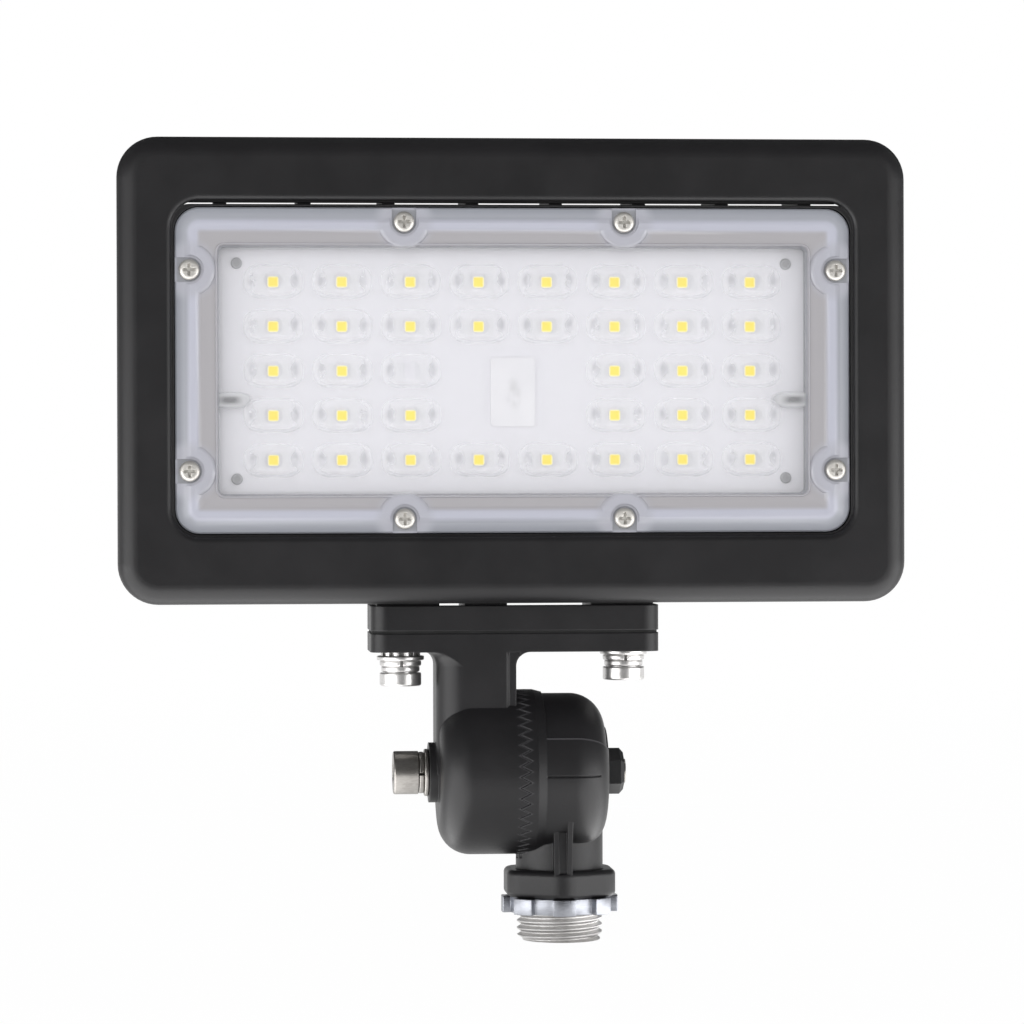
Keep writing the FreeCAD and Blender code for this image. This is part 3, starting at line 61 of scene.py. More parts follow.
# finer layers of a rich noise, and the part of a noise over which one colour turns into another
RICH = 3.0
PATCHY = (0.3, 0.7)
WHITE = (1.0, 1.0, 1.0)
# turns of a sheet or bar: facing up, facing the front, facing a side
FLAT = (0.0, 0.0, 0.0)
UPRIGHT = (math.pi / 2, 0.0, 0.0)
SIDEWAYS = (math.pi / 2, 0.0, math.pi / 2)

Colour = tuple[float, float, float]
Point = tuple[float, float, float]
Outline = tuple[float, float, float]
Pair = tuple[float, float]


def metres(place: Point) -> Point:
    """A place or shift in millimetres, as Blender takes it."""
    x, y, z = (step * MM for step in place)
    return x, y, z


class Body(Enum):
    """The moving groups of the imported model."""

    HEAD = "head"
    BASE = "base"
    LOCKNUT = "locknut"


class Slot(Enum):
    """The record's finishes that the new pieces stand for."""

    LENS = "lens_clear"
    EMITTER = "emitter_yellow"
    NIPPLE = "nipple_bare"
    ZINC = "zinc_bright"


class Work(Enum):
    """What a tool shape does to another shape."""

    JOIN = "UNION"
    CUT = "DIFFERENCE"


class Side(Enum):
    """The side of a cutting plane that is taken off: behind it or ahead of it."""

    BEHIND = "clear_inner"
    AHEAD = "clear_outer"


class Pick(Enum):
    """What is picked in edit mode."""

    POINTS = "VERT"
    EDGES = "EDGE"
    FACES = "FACE"


class Sock:
    """A shader value that adds Math nodes when it is used in an expression."""

    def __init__(self, graph: "Graph", socket: bpy.types.NodeSocket) -> None:
        """Keeps the socket and the graph that it belongs to."""
        self.graph = graph
        self.socket = socket

    def __add__(self, other: "Sock | float") -> "Sock":
        """Sum of two values."""
        return self.graph.math("ADD", self, other)

    __radd__ = __add__

    def __sub__(self, other: "Sock | float") -> "Sock":
        """Difference of two values."""
        return self.graph.math("SUBTRACT", self, other)

    def __rsub__(self, other: "Sock | float") -> "Sock":
        """Difference with the number first."""
        return self.graph.math("SUBTRACT", other, self)

    def __mul__(self, other: "Sock | float") -> "Sock":
        """Product of two values."""
        return self.graph.math("MULTIPLY", self, other)

    __rmul__ = __mul__

    def __truediv__(self, other: "Sock | float") -> "Sock":
        """Quotient of two values."""
        return self.graph.math("DIVIDE", self, other)

    def __mod__(self, other: "Sock | float") -> "Sock":
        """Remainder that stays positive."""
        return self.graph.math("FLOORED_MODULO", self, other)

    def __pow__(self, other: "Sock | float") -> "Sock":
        """Power of a value."""
        return self.graph.math("POWER", self, other)

    def __abs__(self) -> "Sock":
        """Size of a value without its sign."""
        return self.graph.math("ABSOLUTE", self)

    def root(self) -> "Sock":
        """Square root."""
        return self.graph.math("SQRT", self)

    def over(self, other: "Sock | float") -> "Sock":
        """The larger of two values."""
        return self.graph.math("MAXIMUM", self, other)

    def under(self, other: "Sock | float") -> "Sock":
        """The smaller of two values."""
        return self.graph.math("MINIMUM", self, other)

    def step(self, low: float, high: float) -> "Sock":
        """Smooth step from 0 at low to 1 at high.

        Args:
            low: value that gives 0.
            high: value that gives 1, which may be the smaller one.

        Returns:
            The stepped value.
        """
        ends = {"From Min": low, "From Max": high, "To Min": 0.0, "To Max": 1.0}
        if low > high:
            ends = {"From Min": high, "From Max": low, "To Min": 1.0, "To Max": 0.0}
        settings = {"interpolation_type": "SMOOTHSTEP"}
        return self.graph.value("ShaderNodeMapRange", settings, {"Value": self, **ends})

    def between(self, rise: Pair, fall: Pair) -> "Sock":
        """A band: 1 between a step up and a step down."""
        return self.step(*rise) * self.step(*fall)

    def swing(self, amount: float) -> "Sock":
        """A noise's swing to both sides of nought, of this amount in all."""
        return (self - 0.5) * amount


class Graph:
    """The node tree of one material or of the world."""

    def __init__(self, name: str, in_world: bool = False) -> None:
        """Makes an empty material, or an empty world, of that name.

        Args:
            name: its name.
            in_world: makes a world.
        """
        home = bpy.data.worlds if in_world else bpy.data.materials
        self.owner = home.new(name)
        self.owner.use_nodes = True
        self.tree = self.owner.node_tree
        self.tree.nodes.clear()

    def node(self, kind: str, settings: dict, sockets: dict) -> bpy.types.Node:
        """Adds one node.

        Args:
            kind: the node's type.
            settings: properties that are set first, such as a Math node's operation.
            sockets: values or links, by socket name or number.

        Returns:
            The new node.
        """
        made = self.tree.nodes.new(kind)
        for key, value in settings.items():
            setattr(made, key, value)
        for key, value in sockets.items():
            if isinstance(value, Sock):
                self.tree.links.new(value.socket, made.inputs[key])
            elif isinstance(value, tuple) and made.inputs[key].type == "RGBA":
                made.inputs[key].default_value = (*value, 1.0)
            else:
                made.inputs[key].default_value = value
        return made

    def value(self, kind: str, settings: dict, sockets: dict, out: int | str = 0) -> Sock:
        """Adds one node and gives one of its outputs."""
        return Sock(self, self.node(kind, settings, sockets).outputs[out])

    def math(self, operation: str, *values: Sock | float) -> Sock:
        """Adds one Math node."""
        return self.value("ShaderNodeMath", {"operation": operation}, dict(enumerate(values)))

    def mix(self, factor: Sock, a: Sock | Colour, b: Sock | Colour) -> Sock:
        """Mixes two colours."""
        return self.value("ShaderNodeMix", {"data_type": "RGBA"}, {0: factor, 6: a, 7: b}, 2)

    def place(self) -> Sock:
        """Object coordinates, in metres."""
        return self.value("ShaderNodeTexCoord", {}, {}, "Object")

    def axes(self) -> tuple[Sock, Sock, Sock]:
        """Object coordinates apart, in millimetres.

        Returns:
            Places across, in depth and up.
        """
        parts = self.node("ShaderNodeSeparateXYZ", {}, {0: self.place()}).outputs
        x, y, z = (Sock(self, part) * (1 / MM) for part in parts)
        return x, y, z

    def noise(self, size: float, detail: float = 2.0, stretch: Point = (1.0, 1.0, 1.0)) -> Sock:
        """Soft noise.

        Args:
            size: width of one lump, in millimetres.
            detail: finer layers on top.
            stretch: how much closer the lumps lie along each axis.

        Returns:
            Noise around one half.
        """
        spread = self.value("ShaderNodeMapping", {}, {"Vector": self.place(), "Scale": stretch})
        sockets = {"Vector": spread, "Scale": 1 / (size * MM), "Detail": detail}
        return self.value("ShaderNodeTexNoise", {}, sockets)

    def bump(self, height: Sock, strength: float, depth: float, edge: float = 0.0) -> Sock:
        """Bump from a height.

        Args:
            height: the varying height.
            strength: share of the effect.
            depth: height of one unit, in millimetres.
            edge: radius that softens sharp edges, in millimetres.

        Returns:
            The bent normal.
        """
        sockets = {"Strength": strength, "Distance": depth * MM, "Height": height}
        if edge > 0:
            feelers = {"samples": FEELERS}
            sockets["Normal"] = self.value("ShaderNodeBevel", feelers, {"Radius": edge * MM})
        return self.value("ShaderNodeBump", {}, sockets)

    def surface(self, sockets: dict) -> bpy.types.Material:
        """Ends the tree in a Principled shader.

        Args:
            sockets: the shader's values and links.

        Returns:
            The finished material.
        """
        shader = self.value("ShaderNodeBsdfPrincipled", {}, sockets)
        return self.ended(shader)

    def ended(self, shader: Sock) -> bpy.types.Material:
        """Ends the tree in any shader and gives its material."""
        self.node("ShaderNodeOutputMaterial", {}, {"Surface": shader})
        return self.owner


@dataclass(frozen=True)
class PowderCoat:
    """Satin black powder coat with a fine peel and faint clouds in its gloss."""

    name: str = "satin_black_coat"
    dark: Colour = (0.0090, 0.0085, 0.0094)
    light: Colour = (0.0114, 0.0107, 0.0118)
    gloss: float = 0.42
    shine: float = 0.36
    cloud: float = 14.0
    cloud_gloss: float = 0.10
    peel: float = 0.55
    peel_gloss: float = 0.12
    peel_share: float = 0.35
    peel_depth: float = 0.05
    edge: float = 0.45

    def make(self) -> bpy.types.Material:
        """Builds the material.

        Returns:
            The finished material.
        """
        graph = Graph(self.name)
        clouds = graph.noise(self.cloud, RICH)
        peel = graph.noise(self.peel)
        coat = graph.mix(clouds.step(*PATCHY), self.dark, self.light)
        sockets = {
            "Base Color": self.painted_edge_light(graph, coat),
            "Roughness": self.gloss + clouds.swing(self.cloud_gloss) + peel.swing(self.peel_gloss),
            "Specular IOR Level": self.shine,
            "Normal": graph.bump(peel, self.peel_share, self.peel_depth, self.edge),
        }
        return graph.surface(sockets)

    def painted_edge_light(self, graph: Graph, coat: Sock) -> Sock:
        """The coat's colour with its painted edge highlights, of which a plain casting has none."""
        return coat


@dataclass(frozen=True)
class KnuckleCoat(PowderCoat):
    """The same coat, with painted highlights along the serrations and the step across the hub, in
    millimetres.
    """

    name: str = "edge_lit_black_coat"
    # bare is the pale colour of the painted highlights along the teeth and the step
    bare: Colour = (0.062, 0.060, 0.064)
    axis_z: float = 34.95
    face_x: float = -9.9
    teeth: int = 48
    tooth: float = 1.3
    tooth_edge: Pair = (0.95, 0.35)
    # share of the painted highlight along the tooth edges
    tooth_highlight: float = 0.55
    rim_r: Pair = (19.2, 21.0)
    rim_fade: float = 0.1
    hub_left: float = -4.65
    hub_fade: float = 0.3
    step_turn: float = 28.0
    step_low: Pair = (-0.60, -0.20)
    step_high: Pair = (0.10, 0.02)

    def painted_edge_light(self, graph: Graph, coat: Sock) -> Sock:
        """Paints highlights along the edges of the teeth and of the step.

        Args:
            graph: the tree.
            coat: the coat's own colour.

        Returns:
            The mixed colour.
        """
        x, y, z = graph.axes()
        up = z - self.axis_z
        out = (y * y + up * up).root()
        inner, outer = self.rim_r
        turn = graph.math("ARCTAN2", y, up) * (self.teeth / math.tau)
        zigzag = 1 - abs((turn % 1.0) - 0.5) * 4
        off_tooth = abs(x - self.face_x - zigzag * self.tooth)
        on_rim = (out - inner).under(outer - out).step(-self.rim_fade, self.rim_fade)
        on_tooth = off_tooth.step(*self.tooth_edge) * on_rim
        slant = math.radians(self.step_turn)
        over_step = up * math.cos(slant) - abs(y) * math.sin(slant)
        on_hub = x.step(self.hub_left - self.hub_fade, self.hub_left + self.hub_fade)
        on_hub = on_hub * out.step(outer + self.rim_fade, outer - self.rim_fade)
        on_step = over_step.between(self.step_low, self.step_high) * on_hub
        # painted highlights: the tooth edges and the step across the hub turn pale
        return graph.mix((on_tooth * self.tooth_highlight).over(on_step), coat, self.bare)


@dataclass(frozen=True)
class Steel:
    """Bare metal with turned or rolled streaks."""

    name: str
    dark: Colour
    light: Colour
    gloss: float
    streak: Point = (1.0, 1.0, 6.0)
    grain: float = 0.9
    depth: float = 0.02
    edge: float = 0.2
    metal: float = 1.0
    stain: float = 3.5
    streak_gloss: float = 0.15
    stain_gloss: float = 0.08
    streak_share: float = 0.30

    def make(self) -> bpy.types.Material:
        """Builds the material.

        Returns:
            The finished material.
        """
        graph = Graph(self.name)
        streaks = graph.noise(self.grain, RICH, self.streak)
        stains = graph.noise(self.stain)
        both = streaks * 0.5 + stains * 0.5
        uneven = streaks.swing(self.streak_gloss) + stains.swing(self.stain_gloss)
        sockets = {
            "Base Color": graph.mix(both.step(*PATCHY), self.dark, self.light),
            "Metallic": self.metal,
            "Roughness": uneven + self.gloss,
            "Normal": graph.bump(streaks, self.streak_share, self.depth, self.edge),
        }
        return graph.surface(sockets)


@dataclass(frozen=True)
class Moulded:
    """Rubber, painted or moulded plastic with a fine skin."""

    name: str
    dark: Colour
    light: Colour
    gloss: float
    skin: float = 0.4
    shine: float = 0.4
    cloud: float = 6.0
    cloudy: Pair = (0.25, 0.75)
    uneven: float = 0.10
    skin_share: float = 0.3
    skin_depth: float = 0.03

    def make(self) -> bpy.types.Material:
        """Builds the material.

        Returns:
            The finished material.
        """
        graph = Graph(self.name)
        clouds = graph.noise(self.cloud, RICH)
        skin = graph.noise(self.skin)
        colour = graph.mix(clouds.step(*self.cloudy), self.dark, self.light)
        sockets = {
            "Base Color": self.marked(graph, colour),
            "Roughness": self.gloss + clouds.swing(self.uneven) + skin.swing(self.uneven),
            "Specular IOR Level": self.shine,
            "Normal": graph.bump(skin, self.skin_share, self.skin_depth),
        }
        return graph.surface(sockets)

    def marked(self, graph: Graph, colour: Sock) -> Sock:
        """The colour with its marks, of which a plain moulding has none."""
        return colour


@dataclass(frozen=True)
class TerminalNylon(Moulded):
    """White nylon of the terminal, greyer over the clamps in its middle, in millimetres."""

    grey: Colour = (0.66, 0.65, 0.665)
    middle_z: float = -5.6
    half: Pair = (2.9, 5.6)
    fade: Pair = (1.0, 0.2)
    patch: float = 2.4

    def marked(self, graph: Graph, colour: Sock) -> Sock:
        """Greys the colour in patches around the middle.

        Args:
            graph: the tree.
            colour: the nylon's own colour.

        Returns:
            The mixed colour.
        """
        x, _, z = graph.axes()
        across = (x - HEAD_X) / self.half[0]
        up = (z - HEAD_Z - self.middle_z) / self.half[1]
        near = (across * across + up * up).root().step(*self.fade)
        return graph.mix(near * graph.noise(self.patch).step(*PATCHY), colour, self.grey)


@dataclass(frozen=True)
class LensGrid:
    """Where the lenses and emitters stand on the head, in millimetres."""

    columns: int = 8
    rows: int = 5
    pitch_x: float = 16.88
    pitch_z: float = 10.97
    bare_rows: tuple[int, ...] = (2, 3)
    bare_columns: tuple[int, ...] = (3, 4)
    unlit: tuple[int, int] = (2, 2)
    fade: float = 0.1

    def places(self, lit_only: bool) -> list[Pair]:
        """Lists the places.

        Args:
            lit_only: leaves out the lens that has no emitter.

        Returns:
            Pairs of x and z, in millimetres.
        """
        found = []
        for row in range(self.rows):
            for column in range(self.columns):
                bare = row in self.bare_rows and column in self.bare_columns
                if bare or (lit_only and (row, column) == self.unlit):
                    continue
                x = (column - (self.columns - 1) / 2) * self.pitch_x
                z = ((self.rows - 1) / 2 - row) * self.pitch_z
                found.append((HEAD_X + x, HEAD_Z + z))
        return found

    def holds(self, x: Sock, z: Sock) -> Sock:
        """Where the board carries emitters: 1 there, 0 at its rim and in the bare cells.

        Args:
            x: place across.
            z: place up.

        Returns:
            The mask.
        """
        across, up = abs(x - HEAD_X), z - HEAD_Z
        rim_x = self.columns / 2 * self.pitch_x
        rim_z = self.rows / 2 * self.pitch_z
        on_board = (rim_x - across).under(rim_z - abs(up)).step(-self.fade, self.fade)
        bare_x = len(self.bare_columns) / 2 * self.pitch_x
        top = (self.rows / 2 - self.bare_rows[0]) * self.pitch_z
        low = (self.rows / 2 - self.bare_rows[-1] - 1) * self.pitch_z
        bare = (bare_x - across).under(top - up).under(up - low).step(-self.fade, self.fade)
        return on_board * (1 - bare)

    def local(self, x: Sock, z: Sock) -> tuple[Sock, Sock]:
        """Distance from the nearest lens centre along each axis, in millimetres.

        Args:
            x: place across.
            z: place up.

        Returns:
            Distances across and up, with their signs.
        """
        across = (x - HEAD_X) / self.pitch_x + self.columns / 2
        up = (z - HEAD_Z) / self.pitch_z + self.rows / 2
        return ((across % 1.0) - 0.5) * self.pitch_x, ((up % 1.0) - 0.5) * self.pitch_z


@dataclass(frozen=True)
class BoardMask:
    """White solder mask with faint copper lands under each emitter, in millimetres."""

    grid: LensGrid
    name: str = "white_solder_mask"
    mask: Colour = (0.81, 0.80, 0.835)
    land: Colour = (0.73, 0.73, 0.75)
    land_x: float = 2.6
    land_half: Pair = (1.3, 2.1)
    land_fade: float = 0.15
    land_share: float = 0.6
    skin: float = 0.5
    skin_rise: float = 0.3
    gloss: float = 0.45
    skin_gloss: float = 0.1
    shine: float = 0.3
    relief: Pair = (0.4, 0.04)

    def make(self) -> bpy.types.Material:
        """Builds the material.

        Returns:
            The finished material.
        """
        graph = Graph(self.name)
        x, _, z = graph.axes()
        across, up = self.grid.local(x, z)
        half_w, half_h = self.land_half
        gap = (abs(abs(across) - self.land_x) - half_w).over(abs(up) - half_h)
        land = gap.step(self.land_fade, -self.land_fade) * self.grid.holds(x, z)
        skin = graph.noise(self.skin)
        sockets = {
            "Base Color": graph.mix(land * self.land_share, self.mask, self.land),
            "Roughness": self.gloss + skin.swing(self.skin_gloss),
            "Specular IOR Level": self.shine,
            "Normal": graph.bump(land + skin * self.skin_rise, *self.relief),
        }
        return graph.surface(sockets)


@dataclass(frozen=True)
class Phosphor:
    """Yellow phosphor that pales towards the edge of its window, with a faint painted glow, in
    millimetres.
    """

    grid: LensGrid
    name: str = "yellow_phosphor"
    core: Colour = (1.0, 0.80, 0.06)
    edge: Colour = (1.0, 0.93, 0.62)
    pale: Pair = (0.8, 1.5)
    # painted glow: the unlit phosphor emits a little light of its own
    glow: float = 0.10
    grain: float = 0.12
    gloss: float = 0.5
    grain_gloss: float = 0.2
    shine: float = 0.3
    relief: Pair = (0.4, 0.03)

    def make(self) -> bpy.types.Material:
        """Builds the material.

        Returns:
            The finished material.
        """
        graph = Graph(self.name)
        x, _, z = graph.axes()
        across, up = self.grid.local(x, z)
        reach = abs(across).over(abs(up))
        grain = graph.noise(self.grain)
        yellow = graph.mix(reach.step(*self.pale), self.core, self.edge)
        sockets = {
            "Base Color": yellow,
            # painted glow of the unlit phosphor
            "Emission Color": yellow,
            "Emission Strength": self.glow,
            "Roughness": self.gloss + grain.swing(self.grain_gloss),
            "Specular IOR Level": self.shine,
            "Normal": graph.bump(grain, *self.relief),
        }
        return graph.surface(sockets)


@dataclass(frozen=True)
class LensPlastic:
    """Clear moulded plate: milky at its raised border, darker towards its outer edge, with a
    painted highlight on the ridge and painted shade in the channel and the sunk screw seats; almost
    clear over the board.

    Places are in millimetres. Pairs that end in _in are the distances from the plate's edge, or
    from the tub's, between which a tone sets in.
    """

    plate: Outline
    tub: Outline
    screws: tuple[Pair, Pair]
    name: str = "clear_lens_plate"
    rim: Colour = (0.31, 0.32, 0.355)
    flange: Colour = (0.40, 0.41, 0.45)
    flange_in: Pair = (0.2, 2.6)
    # ridge: a painted highlight on the raised ridge
    ridge: Colour = (0.53, 0.535, 0.61)
    ridge_in: Pair = (2.2, 3.8)
    ridge_out: Pair = (6.8, 5.2)
    ridge_y: Pair = (-18.2, -19.0)
    ridge_least: float = 0.35
    # channel: painted shade in the channel inside the ridge
    channel: Colour = (0.435, 0.42, 0.435)
    channel_in: Pair = (3.6, 5.4)
    boss: Colour = (0.475, 0.475, 0.525)
    boss_r: Pair = (8.4, 5.0)
    boss_share: float = 0.85
    # sunk: painted shade in the sunk screw seats
    sunk: Colour = (0.34, 0.345, 0.37)
    sunk_y: Pair = (-18.1, -17.8)
    sunk_in: Pair = (0.3, 0.8)
    panel: Colour = (0.86, 0.86, 0.88)
    panel_in: Pair = (0.75, 1.15)
    haze: Colour = (0.67, 0.67, 0.685)
    slot: Pair = (69.8, -7.2)
    slot_half: Pair = (3.0, 1.1)
    slot_square: float = 3.0
    haze_r: Pair = (2.0, 1.2)
    haze_rate: float = 4.0
    veil_r: Pair = (0.30, 1.25)
    veil: Pair = (0.17, 0.42)
    wave: float = 9.0
    wave_gloss: float = 0.06
    gloss: Pair = (0.24, 0.12)
    cover: Pair = (0.93, 0.13)
    shine: float = 0.5
    relief: Pair = (0.15, 0.10)

    @staticmethod
    def inset(x: Sock, z: Sock, shape: Outline) -> Sock:
        """Distance inside a rounded rectangle.

        Args:
            x: place across.
            z: place up.
            shape: half width, half height and corner radius.

        Returns:
            Millimetres from the outline, positive inside.
        """
        half_w, half_h, corner = shape
        across = abs(x - HEAD_X) - (half_w - corner)
        up = abs(z - HEAD_Z) - (half_h - corner)
        out_x, out_z = across.over(0.0), up.over(0.0)
        return corner - (out_x * out_x + out_z * out_z).root() - across.over(up).under(0.0)

    def border(self, graph: Graph, x: Sock, y: Sock, z: Sock) -> Sock:
        """The border's colour: milky grey, darker towards the outer edge, with a painted highlight
        on the ridge and painted shade in the channel and the sunk seats.

        Args:
            graph: the tree.
            x: place across.
            y: place in depth.
            z: place up.

        Returns:
            The mixed colour.
        """
        from_edge = self.inset(x, z, self.plate)
        # painted shade in the sunk screw seats
        sunk = y.step(*self.sunk_y) * from_edge.step(*self.sunk_in)
        colour = graph.mix(from_edge.step(*self.flange_in), self.rim, self.flange)
        # painted shade in the channel
        colour = graph.mix(from_edge.step(*self.channel_in), colour, self.channel)
        colour = graph.mix(sunk, colour, self.sunk)
        # painted highlight on the raised ridge
        band = from_edge.between(self.ridge_in, self.ridge_out)
        ridge = y.step(*self.ridge_y) * (self.ridge_least + band * (1 - self.ridge_least))
        colour = graph.mix(ridge, colour, self.ridge)
        spread = [
            (abs(abs(x - HEAD_X) - at_x) ** 2.0 + abs(abs(z - HEAD_Z) - at_z) ** 2.0).root()
            for at_x, at_z in self.screws
        ]
        boss = spread[0].under(spread[1]).step(*self.boss_r) * (1 - sunk)
        return graph.mix(boss * self.boss_share, colour, self.boss)

    def off_slot(self, x: Sock, z: Sock) -> Sock:
        """Distance from the middle of the board's nearer side slot, 1 at its ends.

        Args:
            x: place across.
            z: place up.

        Returns:
            The distance, in half sizes of the slot.
        """
        along = abs(abs(x - HEAD_X) - self.slot[0]) / self.slot_half[0]
        beside = abs(z - HEAD_Z - self.slot[1]) / self.slot_half[1]
        return (along**self.slot_square + beside**self.slot_square) ** (1 / self.slot_square)

    def make(self) -> bpy.types.Material:
        """Builds the material, with a veil over the board's side slots.

        Returns:
            The finished material.
        """
        graph = Graph(self.name)
        x, y, z = graph.axes()
        clear = self.inset(x, z, self.tub).step(*self.panel_in)
        off_slot = self.off_slot(x, z)
        hazy = off_slot.step(*self.haze_r)
        veil = hazy * (self.veil[0] + off_slot.step(*self.veil_r) * self.veil[1])
        panel = graph.mix((hazy * self.haze_rate).under(1.0), self.panel, self.haze)
        waves = graph.noise(self.wave)
        milky, glassy = self.cover
        rough, smooth = self.gloss
        sockets = {
            "Base Color": graph.mix(clear, self.border(graph, x, y, z), panel),
            "Roughness": rough - clear * (rough - smooth) + waves.swing(self.wave_gloss),
            "Alpha": milky - clear * (milky - glassy - veil),
            "Specular IOR Level": self.shine,
            "Normal": graph.bump(waves, *self.relief),
        }
        return graph.surface(sockets)


@dataclass(frozen=True)
class LensOptic:
    """Clear lens with painted refraction: grey lobes of painted shade at both sides and along its
    foot, a painted bright rim and an open middle, in millimetres.
    """

    grid: LensGrid
    half: Pair
    square: float
    name: str = "clear_lens_optic"
    glow: Colour = (0.97, 0.97, 0.985)
    # lobe: grey of the painted shade at both sides and along the foot
    lobe: Colour = (0.43, 0.43, 0.45)
    lobe_x: float = 5.3
    lobe_z: float = 0.2
    lobe_half: Pair = (1.7, 2.6)
    lobe_fade: Pair = (1.25, 0.2)
    lobe_patch: Pair = (0.1, 0.6)
    # foot: painted shade along the lens's lower edge
    foot: Pair = (-0.45, -0.95)
    foot_patch: Pair = (0.0, 0.5)
    foot_share: float = 0.45
    # rim: a painted bright rim that pales the lobes
    rim: Pair = (0.72, 1.0)
    rim_share: float = 0.5
    middle: Pair = (3.0, 1.6)
    patch: float = 2.2
    gloss: float = 0.16
    lobe_gloss: float = 0.08
    rim_gloss: float = 0.35
    cover: float = 0.20
    lobe_cover: float = 0.26
    rim_cover: float = 0.08
    middle_cover: float = 0.16
    shine: float = 0.35

    def make(self) -> bpy.types.Material:
        """Builds the material.

        Returns:
            The finished material.
        """
        graph = Graph(self.name)
        x, _, z = graph.axes()
        across, up = self.grid.local(x, z)
        half_w, half_h = self.half
        wide = abs(across / half_w) ** self.square
        tall = abs(up / half_h) ** self.square
        rim = ((wide + tall) ** (1 / self.square)).step(*self.rim)
        middle = (across * across + up * up).root().step(*self.middle)
        patches = graph.noise(self.patch)
        # painted shade: grey lobes at both sides
        side = (abs(across) - self.lobe_x) / self.lobe_half[0]
        height = (up - self.lobe_z) / self.lobe_half[1]
        lobe = (side * side + height * height).root().step(*self.lobe_fade)
        lobe = lobe * patches.step(*self.lobe_patch)
        # painted shade along the lower edge
        foot = (up / half_h).step(*self.foot) * patches.step(*self.foot_patch)
        lobe = lobe.over(foot * self.foot_share)
        shown = self.cover + lobe * self.lobe_cover + rim * self.rim_cover
        sockets = {
            # the painted bright rim pales the grey of the painted shade
            "Base Color": graph.mix(lobe * (1 - rim * self.rim_share), self.glow, self.lobe),
            "Roughness": self.gloss + lobe * self.lobe_gloss + rim * self.rim_gloss,
            "Alpha": shown - middle * self.middle_cover,
            "Specular IOR Level": self.shine,
        }
        return graph.surface(sockets)


